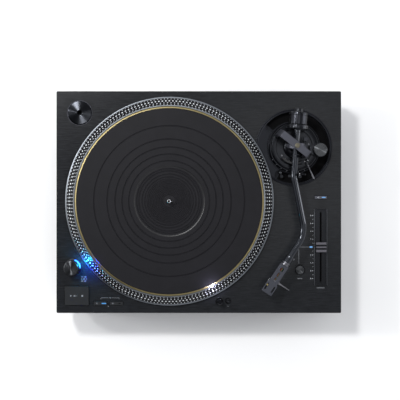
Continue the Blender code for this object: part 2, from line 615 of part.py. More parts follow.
def build_counterweight(metal, plastic):
    line = axis_empty("weight_line", *PIVOT, ARM_Z, -TUBE_ANGLE)
    lathe("counterweight_bush",
          [(5.3, 33.2), (8, 33.2), (8, 53), (6.8, 53), (6.8, 58.2), (6.3, 58.7), (0, 58.7), (0, 56),
           (5.3, 56)],
          16, plastic, parent=line, axis="Y")
    lathe("counterweight",
          [(8.3, 33.2), (13.9, 33.2), (14.5, 33.8), (14.5, 51.6), (13.7, 52.4), (8.3, 52.4)],
          28, metal, parent=line, axis="Y")
    lathe("pressure_dial",
          [(5.4, 25.6), (15.6, 25.6), (16.8, 27), (16.8, 32), (16, 32.8), (5.4, 32.8)],
          28, plastic, parent=line, axis="Y")


def build_headshell(metal, chrome, plastic, cartridge_look):
    _, stylus = arm_layout()
    line = axis_empty("shell_line", PIVOT[0] + stylus.x, PIVOT[1] + stylus.y, ARM_Z,
                      -(REST_ANGLE + OFFSET_ANGLE))
    ring("headshell_nut", 5.3, 6.6, 52.4, 66, 18, chrome, parent=line, axis="Y")

    front, step, back = -2.5, 17.0, 50.0
    wide, narrow = 8.8, 7.0
    shell = prism("headshell",
                  [(-wide, front), (wide, front), (wide, step - 2), (narrow, step), (narrow, back),
                   (-narrow, back), (-narrow, step), (-wide, step - 2)],
                  -3.0, 1.8, metal, parent=line)
    join(shell,
         disc("shell_collar", 6.3, 49, 52.1, 16, parent=line, axis="Y"),
         disc("shell_plug", 4.7, 50, 57, 14, parent=line, axis="Y"))
    cut(shell,
        *[prism(f"screw_slot_{s}", rounded(2.8, 11, 1.3, 2), -5, 5, at=(s * 6.35, 7, 0), parent=line)
          for s in (-1, 1)],
        disc("wire_hole", 3.3, -5, 5, 14, at=(0, 41), parent=line),
        *[prism(f"wire_slot_{y}", rounded(3.2, 7, 1.5, 2), -5, 5, at=(0, y, 0), parent=line)
          for y in (22.5, 31.4)])

    prism("finger_lift",
          [(-6, -4.3), (8.8, -4.3), (10.4, -1.2), (26, 0.4), (26, 1.3), (9.8, 0), (8.2, -3.3), (-6, -3.3)],
          19, 22, chrome, parent=line, plane="XZ")

    body = [(-3.5, -4.6), (21, -4.6), (21, -13), (14, -16), (0, -16), (-3.5, -12)]
    across = bpy.data.objects.new("cartridge_line", None)
    bpy.context.scene.collection.objects.link(across)
    across.parent = line
    across.rotation_euler = (0, 0, math.pi / 2)  # the outline's X then runs back along the shell
    prism("cartridge", body, -8.2, 8.2, cartridge_look, parent=across, plane="XZ")
    holder = prism("stylus", [(3, -16.3), (14, -16.3), (12, -18.4), (4, -18.0)], -3.5, 3.5, plastic,
                   parent=across, plane="XZ")
    join(holder, sweep("cantilever", [(6, 0, -17.2), (0.5, 0, -19.0), (0, 0, -19.5)], [0.5, 0.4, 0.25], 8,
                       parent=across))


def main():
    for obj in list(bpy.data.objects):
        bpy.data.objects.remove(obj)
    look = looks()
    build_top_panel(look["brushed_black"])
    build_chassis(look["chassis_black"])
    build_base_tray(look["base_rubber"])
    build_feet(look["black_plastic"])
    build_electronics(look["board_green"], look["steel"], look["black_plastic"])
    build_motor(look["copper"], look["board_green"], look["steel"])
    build_platter(look)
    build_buttons(look["black_metal"], look["black_plastic"])
    build_target_lamp(look["black_metal"], look["black_plastic"])
    build_strobe(look["black_metal"], look["black_plastic"], look["blue_lens"])
    build_pitch_control(look["black_plastic"], look["steel"])
    build_arm_flange(look["black_plastic"])
    build_lock_lever(look["black_metal"])
    build_pedestal(look["black_plastic"], look["grey_metal"], look["brass"])
    build_antiskate(look["black_plastic"], look["black_metal"])
    build_cueing(look["black_plastic"], look["steel"])
    build_arm_rest(look["black_plastic"], look["black_plastic"])
    build_gimbal(look["grey_metal"])
    build_tube(look["black_metal"])
    build_counterweight(look["black_metal"], look["black_plastic"])
    build_headshell(look["grey_metal"], look["steel"], look["black_plastic"], look["cartridge_black"])


main()
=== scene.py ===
"""Looks of the direct-drive record player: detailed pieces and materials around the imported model.

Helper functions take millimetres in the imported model's own frame: +X right, +Y back, +Z up.
"""

import json
import math

import bmesh
import bpy
from mathutils import Matrix, Vector

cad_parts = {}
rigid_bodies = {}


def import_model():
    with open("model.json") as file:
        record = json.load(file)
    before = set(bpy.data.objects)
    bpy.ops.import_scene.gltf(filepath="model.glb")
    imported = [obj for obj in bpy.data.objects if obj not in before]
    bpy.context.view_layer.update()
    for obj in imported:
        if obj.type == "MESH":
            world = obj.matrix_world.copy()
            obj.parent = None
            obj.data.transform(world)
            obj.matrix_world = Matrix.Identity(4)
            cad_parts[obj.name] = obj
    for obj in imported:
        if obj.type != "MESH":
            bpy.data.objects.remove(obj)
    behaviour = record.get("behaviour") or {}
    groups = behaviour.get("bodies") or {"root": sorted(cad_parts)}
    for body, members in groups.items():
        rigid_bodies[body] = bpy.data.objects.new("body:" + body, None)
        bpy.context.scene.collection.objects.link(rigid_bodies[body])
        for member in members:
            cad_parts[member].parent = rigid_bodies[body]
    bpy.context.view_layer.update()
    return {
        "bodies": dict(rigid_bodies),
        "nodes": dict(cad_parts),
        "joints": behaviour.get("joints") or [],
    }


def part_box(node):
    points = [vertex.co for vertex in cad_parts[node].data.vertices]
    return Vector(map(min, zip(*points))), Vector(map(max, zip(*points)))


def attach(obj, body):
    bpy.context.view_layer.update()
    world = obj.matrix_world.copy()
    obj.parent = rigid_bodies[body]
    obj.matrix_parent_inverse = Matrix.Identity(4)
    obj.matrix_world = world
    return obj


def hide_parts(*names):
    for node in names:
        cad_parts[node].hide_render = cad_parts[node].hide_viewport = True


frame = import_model()

MM = 0.001
UP = Vector((0, 0, 1))
JOINTS = {joint["name"]: joint for joint in frame["joints"]}


# ---------------------------------------------------------------- places, read from the frame
def middle(node):
    low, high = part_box(node)
    return (low + high) / 2 / MM


def lowest(node):
    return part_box(node)[0] / MM


def highest(node):
    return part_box(node)[1] / MM


def joint_at(name):
    return Vector(JOINTS[name]["pos_m"]) / MM


def joint_axis(name):
    return Vector(JOINTS[name]["axis"])


def at_height(point, z):
    return Vector((point[0], point[1], z))


def polar(radius, degrees):
    a = math.radians(degrees)
    return (radius * math.cos(a), radius * math.sin(a))


def basis(origin, z_axis=UP, x_axis=None):
    """Places a piece with its Z axis along z_axis. Lengths stay in millimetres."""
    z = Vector(z_axis).normalized()
    if x_axis is None:
        x_axis = (1, 0, 0) if abs(z.x) < 0.9 else (0, 1, 0)
    x = Vector(x_axis)
    x = (x - z * x.dot(z)).normalized()
    y = z.cross(x)
    rotation = Matrix((x, y, z)).transposed().to_4x4()
    return Matrix.Translation(Vector(origin) * MM) @ rotation


def standing(node, z=0):
    """An upright place in the middle of a node, at height z."""
    return basis(at_height(middle(node), z))


def turned(origin, degrees):
    """An upright place turned about Z."""
    return Matrix.Translation(Vector(origin) * MM) @ Matrix.Rotation(math.radians(degrees), 4, "Z")


DECK = highest("top_panel").z
SPINDLE = at_height(middle("platter_mat"), DECK)
PIVOT = joint_at("arm_swing")
ARM_Z = PIVOT.z
REAR = joint_axis("weight_turn")
SHELL_BACK = joint_axis("nut_turn")
NUT = joint_at("nut_turn")
STYLUS = NUT - SHELL_BACK * 59
TUBE_PLACE = basis(PIVOT, REAR, UP)
PIVOT_PLACE = basis(at_height(PIVOT, 0))
BRIDGE_TURN = math.radians(-38.5)
MIDDLE_RUN_LEAN = math.radians(-11.2)  # of the tube's straight run, from front to back
CLAMP_OPEN = math.radians(100)
DOT_CONE = 273.75  # radius plus height of the slope that the strobe dots stand on
PRINT_RISE, PRINT_THICKNESS = 0.02, 0.03


# ---------------------------------------------------------------- mesh tools
def as_object(name, bm, place=Matrix(), smooth_angle=35):
    bmesh.ops.remove_doubles(bm, verts=bm.verts, dist=1e-4)
    bmesh.ops.recalc_face_normals(bm, faces=bm.faces)
    bmesh.ops.scale(bm, vec=(MM, MM, MM), verts=bm.verts)
    mesh = bpy.data.meshes.new(name)
    bm.to_mesh(mesh)
    bm.free()
    shade(mesh, smooth_angle)
    return placed(name, mesh, place)


def shade(mesh, smooth_angle=35):
    mesh.shade_smooth()
    mesh.set_sharp_from_angle(angle=math.radians(smooth_angle))


def placed(name, data, place=Matrix()):
    obj = bpy.data.objects.new(name, data)
    bpy.context.scene.collection.objects.link(obj)
    obj.matrix_world = place
    return obj


def as_mesh(name, curve):
    """A curve or text turned into a mesh."""
    holder = placed(name, curve)
    bpy.context.view_layer.update()
    mesh = bpy.data.meshes.new_from_object(holder)
    bpy.data.objects.remove(holder)
    return mesh


def soften(obj, width, segments=2, angle=30):
    """Small rounded edges, so that they catch the light."""
    bevel = obj.modifiers.new("edges", "BEVEL")
    bevel.width = width * MM
    bevel.segments = segments
    bevel.limit_method = "ANGLE"
    bevel.angle_limit = math.radians(angle)
    bevel.harden_normals = True
    return obj


def lathe(name, profile, place=Matrix(), segments=96, edge=0.0):
    bm = bmesh.new()
    verts = [bm.verts.new((r, 0.0, h)) for r, h in profile]
    edges = [bm.edges.new(pair) for pair in zip(verts, verts[1:])]
    if profile[0][0] > 0 or profile[-1][0] > 0:
        edges.append(bm.edges.new((verts[-1], verts[0])))
    bmesh.ops.spin(bm, geom=verts + edges, cent=(0, 0, 0), axis=(0, 0, 1), angle=2 * math.pi,
                   steps=segments, use_merge=True)
    obj = as_object(name, bm, place)
    return soften(obj, edge) if edge else obj


def prism(name, outline, low, high, place=Matrix(), edge=0.0):
    bm = bmesh.new()
    face = bm.faces.new([bm.verts.new((x, y, low)) for x, y in outline])
    grown = bmesh.ops.extrude_face_region(bm, geom=[face])["geom"]
    moved = [g for g in grown if isinstance(g, bmesh.types.BMVert)]
    bmesh.ops.translate(bm, vec=(0, 0, high - low), verts=moved)
    obj = as_object(name, bm, place)
    return soften(obj, edge) if edge else obj


def blocks(name, corners, place=Matrix(), edge=0.0):
    """Several boxes in one piece, each given as (x0, x1, y0, y1, z0, z1)."""
    bm = bmesh.new()
    for x0, x1, y0, y1, z0, z1 in corners:
        size = Matrix.Diagonal((x1 - x0, y1 - y0, z1 - z0, 1))
        at = Matrix.Translation(((x0 + x1) / 2, (y0 + y1) / 2, (z0 + z1) / 2))
        bmesh.ops.create_cube(bm, size=1.0, matrix=at @ size)
    obj = as_object(name, bm, place)
    return soften(obj, edge) if edge else obj


def arc(radius, start, end, steps, centre=(0, 0)):
    angles = [math.radians(start + (end - start) * i / steps) for i in range(steps + 1)]
    return [(centre[0] + radius * math.cos(a), centre[1] + radius * math.sin(a)) for a in angles]


def rounded(width, depth, radius, centre=(0, 0), steps=5):
    points = []
    for sx, sy, start in ((1, 1, 0), (-1, 1, 90), (-1, -1, 180), (1, -1, 270)):
        corner = (centre[0] + sx * (width / 2 - radius), centre[1] + sy * (depth / 2 - radius))
        points += arc(radius, start, start + 90, steps, corner)
    return points


def plate(name, outlines, low, high, edge, place=Matrix()):
    """A sheet with holes and rounded edges. The first outline is its border and the others are cut-outs."""
    curve = bpy.data.curves.new(name, "CURVE")
    curve.dimensions = "2D"
    curve.fill_mode = "BOTH"
    for outline in outlines:
        spline = curve.splines.new("POLY")
        spline.points.add(len(outline) - 1)
        for point, (x, y) in zip(spline.points, outline):
            point.co = (x * MM, y * MM, 0, 1)
        spline.use_cyclic_u = True
    curve.extrude = ((high - low) / 2 - edge) * MM
    curve.bevel_depth = edge * MM
    curve.bevel_resolution = 2
    curve.offset = -edge * MM
    mesh = as_mesh(name + "_curve", curve)
    bpy.data.curves.remove(curve)
    bm = bmesh.new()
    bm.from_mesh(mesh)
    bpy.data.meshes.remove(mesh)
    bmesh.ops.scale(bm, vec=(1 / MM, 1 / MM, 1 / MM), verts=bm.verts)
    bmesh.ops.translate(bm, vec=(0, 0, (low + high) / 2), verts=bm.verts)
    return as_object(name, bm, place)


def tube(name, points, radii, place=Matrix(), sides=48):
    """A round bar along points, with flat ends and one radius or one for each point."""
    bm = bmesh.new()
    path = [Vector(p) for p in points]
    rings = []
    for i, point in enumerate(path):
        ahead = path[min(i + 1, len(path) - 1)] - path[max(i - 1, 0)]
        turn = ahead.to_track_quat("Z", "Y")
        r = radii[i] if isinstance(radii, list) else radii
        around = [2 * math.pi * k / sides for k in range(sides)]
        rings.append([bm.verts.new(turn @ Vector((r * math.cos(a), r * math.sin(a), 0)) + point)
                      for a in around])
    for low, high in zip(rings, rings[1:]):
        for k in range(sides):
            bm.faces.new((low[k], low[(k + 1) % sides], high[(k + 1) % sides], high[k]))
    bm.faces.new(rings[0])
    bm.faces.new(rings[-1])
    return as_object(name, bm, place, 50)


def cut(obj, *tools, operation="DIFFERENCE"):
    """Takes the tools' shapes out of a piece, or joins them to it, then drops them."""
    for tool in tools:
        modifier = obj.modifiers.new(tool.name, "BOOLEAN")
        modifier.object = tool
        modifier.solver = "EXACT"
        modifier.operation = operation
        bpy.context.view_layer.update()
        graph = bpy.context.evaluated_depsgraph_get()
        mesh = bpy.data.meshes.new_from_object(obj.evaluated_get(graph))
        obj.modifiers.clear()
        obj.data = mesh
        bpy.data.objects.remove(tool)
    shade(obj.data)
    return obj


def label(name, words, height, place):
    """Flat printed figures, centred on the place."""
    text = bpy.data.curves.new(name, "FONT")
    text.body = words
    text.size = height * MM / 0.7
    text.align_x = "CENTER"
    text.align_y = "CENTER"
    text.extrude = 0.02 * MM
    mesh = as_mesh(name + "_text", text)
    mesh.name = name
    return placed(name, mesh, place)


def wear_look(obj, look):
    obj.data.materials.clear()
    obj.data.materials.append(LOOKS[look])


def fit(obj, look, body, node=None):
    """Gives a piece its look, its body and the CAD node that it stands for."""
    wear_look(obj, look)
    shading = obj.modifiers.new("shading", "WEIGHTED_NORMAL")
    shading.keep_sharp = True
    shading.weight = 90
    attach(obj, body)
    if node:
        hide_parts(node)
    return obj


def printed(name, bars, z, look="dim_white", body="plinth", place=Matrix(), thickness=PRINT_THICKNESS):
    """Flat printed bars, each given as (x0, x1, y0, y1)."""
    return fit(blocks(name, [(*bar, z, z + thickness) for bar in bars], place), look, body)


def ribs_around(name, count, radius, z, size, place):
    """Small upright ribs around a dial."""
    bm = bmesh.new()
    for k in range(count):
        a = 2 * math.pi * k / count
        at = Matrix.Translation((radius * math.cos(a), radius * math.sin(a), z))
        turn = Matrix.Rotation(a, 4, "Z")
        bmesh.ops.create_cube(bm, size=1.0, matrix=at @ turn @ Matrix.Diagonal((*size, 1)))
    return as_object(name, bm, place)


# ---------------------------------------------------------------- materials
COOL = (0.84, 0.89, 1.0, 1)  # specular tint of the blue-black plastics and lacquer


def add_node(tree, kind, inputs=None, **settings):
    """A shader node whose inputs are values or the sockets of other nodes."""
    made = tree.nodes.new(kind)
    for key, value in settings.items():
        setattr(made, key, value)
    for key, value in (inputs or {}).items():
        if isinstance(value, bpy.types.NodeSocket):
            tree.links.new(value, made.inputs[key])
        else:
            made.inputs[key].default_value = value
    return made


class Look:
    """A Principled material with helpers for procedural detail in the piece's own coordinates."""

    def __init__(self, name, color, roughness, metallic=0.0, **sockets):
        self.material = bpy.data.materials.new(name)
        self.material.use_nodes = True
        self.links = self.material.node_tree.links
        self.shader = self.material.node_tree.nodes["Principled BSDF"]
        self.color = color
        self.roughness = roughness
        self.shader.inputs["Base Color"].default_value = (*color, 1)
        self.shader.inputs["Roughness"].default_value = roughness
        self.shader.inputs["Metallic"].default_value = metallic
        for socket, value in sockets.items():
            self.shader.inputs[socket.replace("_", " ")].default_value = value
        self.coordinates = self.node("ShaderNodeTexCoord").outputs["Object"]
        self.height = None

    def node(self, kind, inputs=None, **settings):
        return add_node(self.material.node_tree, kind, inputs, **settings)

    def stretched(self, scale):
        return self.node("ShaderNodeMapping", {"Vector": self.coordinates, "Scale": scale}).outputs[0]

    def noise(self, scale, detail=3.0, stretch=(1, 1, 1), roughness=0.55):
        return self.node("ShaderNodeTexNoise", {"Vector": self.stretched(stretch), "Scale": scale,
                                                "Detail": detail, "Roughness": roughness}).outputs["Fac"]

    def math(self, operation, a, b=0.0):
        return self.node("ShaderNodeMath", {0: a, 1: b}, operation=operation).outputs[0]

    def rings(self, rate):
        """A wave around the piece's own Z axis, rate radians for each metre outwards."""
        flat = self.node("ShaderNodeVectorMath", {0: self.coordinates, 1: (1, 1, 0)}, operation="MULTIPLY")
        radius = self.node("ShaderNodeVectorMath", {0: flat.outputs[0]},
                           operation="LENGTH").outputs["Value"]
        return self.math("SINE", self.math("MULTIPLY", radius, rate))

    def spread(self, value, low, high):
        """Maps 0.3..0.7, the middle of a noise, onto low..high."""
        return self.node("ShaderNodeMapRange", {"Value": value, "From Min": 0.3, "From Max": 0.7,
                                                "To Min": low, "To Max": high}).outputs[0]

    def vary_color(self, value, dark, light):
        """Base colour between two multiples of itself."""
        mix = self.node("ShaderNodeMix", {"Factor": self.spread(value, 0, 1)}, data_type="RGBA")
        mix.inputs[6].default_value = (*[c * dark for c in self.color], 1)
        mix.inputs[7].default_value = (*[min(1, c * light) for c in self.color], 1)
        self.links.new(mix.outputs[2], self.shader.inputs["Base Color"])
        return self

    def vary_roughness(self, value, amount):
        self.links.new(self.spread(value, self.roughness - amount, self.roughness + amount),
                       self.shader.inputs["Roughness"])
        return self

    def bump(self, value, depth, strength=1.0):
        """Relief of that many millimetres between a value of 0 and 1."""
        made = self.node("ShaderNodeBump", {"Strength": strength, "Distance": depth * MM, "Height": value})
        if self.height:
            self.links.new(self.height, made.inputs["Normal"])
        self.height = made.outputs[0]
        self.links.new(self.height, self.shader.inputs["Normal"])
        return self

    def spun(self):
        tangent = self.node("ShaderNodeTangent", direction_type="RADIAL", axis="Z")
        self.links.new(tangent.outputs[0], self.shader.inputs["Tangent"])
        return self


def moulded(name, color, roughness, grain=900.0, depth=0.02, **sockets):
    """Plastic or rubber with a fine moulded grain and faint cloudiness."""
    look = Look(name, color, roughness, **sockets)
    look.vary_color(look.noise(60, 4), 0.92, 1.08)
    look.vary_roughness(look.noise(90, 3), 0.04)
    look.bump(look.noise(grain, 2), depth)
    return look.material


def cast_metal(name, color, roughness, metallic, grain=500.0, depth=0.03):
    look = Look(name, color, roughness, metallic)
    look.vary_color(look.noise(60, 4), 0.93, 1.07)
    look.vary_roughness(look.noise(120, 3), 0.04)
    look.bump(look.noise(grain, 3), depth)
    return look.material


def brushed_deck():
    """Black hairline aluminium, brushed from left to right."""
    look = Look("hairline_black", (0.0095, 0.0102, 0.0116), 0.24, 0.0, Specular_IOR_Level=0.12)
    hair = look.noise(1.0, 5, (60, 1500, 60), 0.85)
    streaks = look.noise(1.0, 4, (48, 800, 20), 0.8)
    both = look.math("ADD", look.math("MULTIPLY", hair, 0.5), look.math("MULTIPLY", streaks, 0.5))
    look.vary_color(both, 0.1, 2.6)
    look.vary_roughness(streaks, 0.05)
    look.bump(hair, 0.015, 0.4)
    return look.material


def spun_metal(name, color, roughness):
    """Turned metal whose fine rings stretch each light into a wedge."""
    look = Look(name, color, roughness, 1.0, Anisotropic=1.0, Anisotropic_Rotation=0.25)
    wave = look.rings(9000.0)
    look.vary_roughness(wave, 0.015)
    look.vary_color(look.noise(40, 2), 0.96, 1.04)
    look.bump(wave, 0.001, 0.05)
    return look.spun().material


def polished(name, color, roughness, metallic=1.0, wear=0.04):
    look = Look(name, color, roughness, metallic)
    look.vary_roughness(look.noise(80, 4), wear)
    look.vary_color(look.noise(30, 3), 0.9, 1.08)
    return look.material


def rubber_mat():
    """Felted rubber with hair-fine turned grooves."""
    look = Look("mat_rubber", (0.0085, 0.0083, 0.0102), 0.5, Specular_IOR_Level=0.13)
    look.vary_color(look.noise(70, 5), 0.92, 1.1)
    look.bump(look.rings(14000.0), 0.006, 0.3)
    look.bump(look.noise(1500, 2), 0.006, 0.4)
    return look.material


def glowing(name, color, strength, base=(0.02, 0.05, 0.12)):
    look = Look(name, base, 0.2, Coat_Weight=0.6)
    look.shader.inputs["Emission Color"].default_value = (*color, 1)
    look.shader.inputs["Emission Strength"].default_value = strength
    look.vary_roughness(look.noise(200, 2), 0.05)
    return look.material


def gloss_black(name, color, roughness, coat=1.0):
    """Lacquered metal with the faint unevenness of a polished coat."""
    look = Look(name, color, roughness, 0.0, Coat_Weight=coat, Coat_Roughness=0.08, Specular_Tint=COOL)
    look.vary_color(look.noise(60, 3), 0.85, 1.15)
    look.vary_roughness(look.noise(150, 3), 0.04)
    look.bump(look.noise(40, 2), 0.01, 0.4)
    return look.material


def circuit_board():
    """Green solder mask with pale traces."""
    look = Look("circuit_board", (0.02, 0.13, 0.05), 0.35)
    traces = look.node("ShaderNodeTexBrick", {"Vector": look.coordinates, "Scale": 220.0,
                                              "Color1": (0.02, 0.12, 0.045, 1),
                                              "Color2": (0.03, 0.19, 0.07, 1),
                                              "Mortar": (0.25, 0.3, 0.12, 1)})
    look.links.new(traces.outputs["Color"], look.shader.inputs["Base Color"])
    look.bump(traces.outputs["Fac"], 0.02)
    return look.material


def windings():
    look = Look("copper_windings", (0.7, 0.3, 0.14), 0.3, 0.9)
    turns = look.node("ShaderNodeTexWave", {"Vector": look.coordinates, "Scale": 900.0, "Distortion": 0.4},
                      bands_direction="Z")
    look.bump(turns.outputs["Fac"], 0.15)
    look.vary_color(turns.outputs["Fac"], 0.5, 1.2)
    return look.material


LOOKS = {
    "deck": brushed_deck(),
    "chassis": cast_metal("textured_black", (0.018, 0.018, 0.02), 0.5, 0.3, 700, 0.05),
    "base": moulded("base_rubber", (0.014, 0.014, 0.015), 0.7, 500, 0.04),
    "foot": moulded("foot_rubber", (0.016, 0.016, 0.017), 0.62, 700, 0.03),
    "silver": polished("turned_silver", (0.19, 0.205, 0.225), 0.36),
    "dots": polished("dot_silver", (0.7, 0.73, 0.76), 0.5, 0.35),
    "band": moulded("strobe_band_black", (0.003, 0.003, 0.004), 0.4, 600, 0.005, Specular_IOR_Level=0.1),
    "brass": polished("polished_brass", (0.34, 0.28, 0.14), 0.42),
    "mat": rubber_mat(),
    "steel": polished("polished_steel", (0.72, 0.73, 0.75), 0.16),
    "spun": spun_metal("spun_black", (0.03, 0.032, 0.037), 0.24),
    "spun_silver": spun_metal("spun_silver", (0.06, 0.063, 0.067), 0.28),
    "spun_light": spun_metal("spun_grey", (0.055, 0.058, 0.063), 0.3),
    "plastic": moulded("satin_plastic", (0.003, 0.003, 0.0034), 0.32, 1200, 0.004, Specular_IOR_Level=0.24,
                        Specular_Tint=COOL),
    "button": moulded("button_grey", (0.0085, 0.0095, 0.011), 0.5, 1400, 0.006, Specular_IOR_Level=0.25),
    "arm_plastic": moulded("arm_base_plastic", (0.0018, 0.0019, 0.0026), 0.2, 1000, 0.003,
                           Specular_IOR_Level=0.22, Specular_Tint=COOL),
    "flange": moulded("flange_satin", (0.007, 0.0074, 0.0095), 0.34, 1000, 0.003, Specular_IOR_Level=0.16,
                     Specular_Tint=COOL),
    "bridge": cast_metal("satin_grey_metal", (0.05, 0.052, 0.065), 0.36, 0.7, 1500, 0.003),
    "shell": cast_metal("satin_headshell", (0.047, 0.05, 0.063), 0.42, 0.6, 1500, 0.006),
    "ridge": moulded("ridge_grey", (0.075, 0.072, 0.086), 0.45, 1500, 0.004),
    "range": moulded("range_button_grey", (0.05, 0.053, 0.068), 0.5, 1500, 0.004),
    "tube": gloss_black("tube_lacquer", (0.003, 0.0036, 0.005), 0.12, 0.0),
    "weight": polished("black_chrome", (0.022, 0.023, 0.027), 0.22, 1.0, 0.01),
    "dull_steel": polished("dull_steel", (0.15, 0.15, 0.165), 0.34),
    "pivot_screw": polished("aged_brass", (0.13, 0.12, 0.09), 0.34),
    "step": moulded("smooth_rubber", (0.008, 0.008, 0.009), 0.33, 900, 0.002, Specular_IOR_Level=0.35),
    "cartridge": gloss_black("cartridge_gloss", (0.008, 0.008, 0.009), 0.3, 0.5),
    "white": moulded("white_print", (0.62, 0.65, 0.7), 0.6, 800, 0.002),
    "dim_white": moulded("dim_print", (0.2, 0.21, 0.23), 0.6, 800, 0.002),
    "led": glowing("blue_led", (0.08, 0.31, 0.68), 1.0, (0.01, 0.02, 0.05)),
    "window": glowing("strobe_glow", (0.02, 0.15, 1.0), 14.0),
    "lamp": glowing("lamp_glow", (0.85, 0.85, 1.0), 4.0),
    # near-black: the seam bead and the unlit 45 lamp, and also painted shade on the sheets and parts put in
    # slits, hollows and gaps
    "dark": moulded("black_and_painted_shade", (0.0018, 0.0018, 0.0022), 0.6, 600, 0.01, Specular_IOR_Level=0.05),
    "red": moulded("red_lead", (0.13, 0.008, 0.01), 0.45, 500, 0.01),
    "green": moulded("green_lead", (0.01, 0.05, 0.02), 0.45, 500, 0.01),
    "amber": moulded("amber_lead", (0.12, 0.055, 0.012), 0.45, 500, 0.01),
    "gold": polished("gold_contact", (0.85, 0.6, 0.22), 0.25),
    "board": circuit_board(),
    "copper": windings(),
    "magnet": cast_metal("magnet_grey", (0.07, 0.07, 0.075), 0.5, 0.4),
}


# ---------------------------------------------------------------- plinth
def outline_of(node, gap, radius):
    """Cut-out that clears a button by gap."""
    low, high = lowest(node), highest(node)
    at = (low + high) / 2
    return rounded(high.x - low.x + 2 * gap, high.y - low.y + 2 * gap, radius, (at.x, at.y))


def circle(node, radius, steps):
    at = middle(node)
    return arc(radius, 0, 360 - 360 / steps, steps - 1, (at.x, at.y))


def make_deck():
    low, high = lowest("top_panel"), highest("top_panel")
    size = high - low
    holes = [circle(*hole) for hole in (
        ("platter_mat", 58, 128), ("height_ring", 59.3, 128), ("lamp_sleeve", 6.3, 48),
        ("lamp_button", 4.6, 48),
        ("reset_button", 8.2, 64), ("ep_adapter", 19.6, 96), ("power_knob", 9, 48))]
    holes += [outline_of(node, 0.4, 0.8) for node in
              ("start_stop_button", "speed_button_33", "speed_button_45", "pitch_range_button")]
    pitch = middle("pitch_plate")
    holes.append(rounded(15.8, 117.4, 1.4, (pitch.x, pitch.y)))
    edge = rounded(size.x, size.y, 2.0)
    deck = plate("deck_panel", [edge, *holes], low.z, high.z, 0.5)
    fit(deck, "deck", "plinth", "top_panel")
    # the cup round the adapter is near-black: painted shade in the gap round the adapter
    floor = lathe("adapter_recess", [(0, low.z), (20.2, low.z), (20.2, low.z + 5), (19.62, low.z + 5),
                                     (19.62, low.z + 4), (0, low.z + 4)], standing("ep_adapter"))
    fit(floor, "dark", "plinth")
    rim = lathe("adapter_recess_edge", [(19.2, high.z - 0.6), (19.6, high.z - 0.6), (19.9, high.z + 0.05),
                                        (19.5, high.z + 0.05)], standing("ep_adapter"), 128)
    fit(rim, "bridge", "plinth")


def keep_cad(node, look, edge=0.0):
    """A CAD solid that stays, with a better material and softened edges."""
    obj = frame["nodes"][node]
    wear_look(obj, look)
    weld = obj.modifiers.new("weld", "WELD")
    weld.merge_threshold = 1e-5
    if edge:
        soften(obj, edge)
    shade(obj.data)


def make_plinth_body():
    keep_cad("chassis", "chassis", 0.8)
    keep_cad("base_tray", "base", 1.2)
    seam_z = lowest("chassis").z - 0.15
    low, high = lowest("base_tray"), highest("base_tray")
    size = high - low
    bead = plate("base_seam", [rounded(size.x - 1, size.y - 1, 5), rounded(size.x - 12, size.y - 12, 4)],
                 seam_z - 0.1, seam_z + 0.1, 0.04)
    fit(bead, "dark", "plinth")
    for i in range(1, 5):
        make_foot(f"foot_{i}")


def make_foot(node):
    top = highest(node).z
    place = standing(node)
    cup = [(0, 3), (25, 3), (29.2, 7), (30, 9), (30, 24), (29.4, 26), (28.4, 26.5), (28.4, 27.4), (26, 30),
           (14.5, 31.2), (14, 33.4), (5.2, 33.4), (0, 33.4)]
    fit(lathe(f"{node}_cup", cup, place), "foot", node, node)
    for k, (look, slot) in enumerate((("steel", "steel"), ("foot", "foot_black"), ("foot", "foot_black"))):
        z = 12 + 3.5 * k
        rib = [(29.6, z), (30.0, z + 0.3), (30.0, z + 1.2), (29.6, z + 1.5)]
        fit(lathe(f"{node}_rib_{k}", rib, place), look, node)
    sole = [(10, 0), (26, 0), (27.5, 1.2), (27.5, 3.2), (25, 3.6), (10, 3.6)]
    fit(lathe(f"{node}_sole", sole, place, 96, 0.3), "base", node)
    stud = [(0, 33), (5, 33), (5, top - 1), (4, top), (0, top)]
    fit(lathe(f"{node}_stud", stud, place, 32), "steel", node)


def make_rear():
    keep_cad("terminal_housing", "plastic", 0.3)
    keep_cad("ac_inlet", "plastic", 0.3)
    back = Vector((0, 1, 0))
    for node in ("phono_jack_left", "phono_jack_right"):
        at = middle(node)
        place = basis((at.x, 0, at.z), back)
        shell = [(1.7, 150), (6, 150), (6, 151), (4.6, 151.4), (4.15, 152), (4.15, 159.6), (3.8, 160),
                 (3.4, 160), (3.4, 152.5), (1.7, 152.5)]
        fit(lathe(f"{node}_shell", shell, place, 48), "gold", "plinth", node)
        core = [(1.7, 151), (3.3, 151), (3.3, 159.2), (1.7, 159.2)]
        color = "red" if node.endswith("right") else "white"
        fit(lathe(f"{node}_insulator", core, place, 32), color, "plinth")
    at = middle("ground_terminal")
    place = basis((at.x, 0, at.z), back)
    knob = [(0, 148.3), (2, 148.3), (2, 151.5), (4.2, 151.5), (4.6, 152), (4.6, 157.4), (4.1, 158),
            (0, 158)]
    fit(lathe("ground_knob", knob, place, 24), "steel", "plinth", "ground_terminal")
    inlet = middle("ac_inlet")
    pins = [(inlet.x + dx - 1.2, inlet.x + dx + 1.2, 159, 171, inlet.z - 2.2, inlet.z + 2.2)
            for dx in (-5, 5)]
    fit(blocks("inlet_pins", pins, edge=0.4), "steel", "plinth")


def make_inside():
    # the pitch fader is steel, but made near-black here as painted shade seen through the pitch slit
    for node, look in (("control_board", "board"), ("power_supply_board", "board"),
                       ("motor_board", "board"),
                       ("bearing_housing", "steel"), ("stator", "copper"), ("rotor_magnet", "magnet"),
                       ("pitch_fader", "dark")):
        keep_cad(node, look)


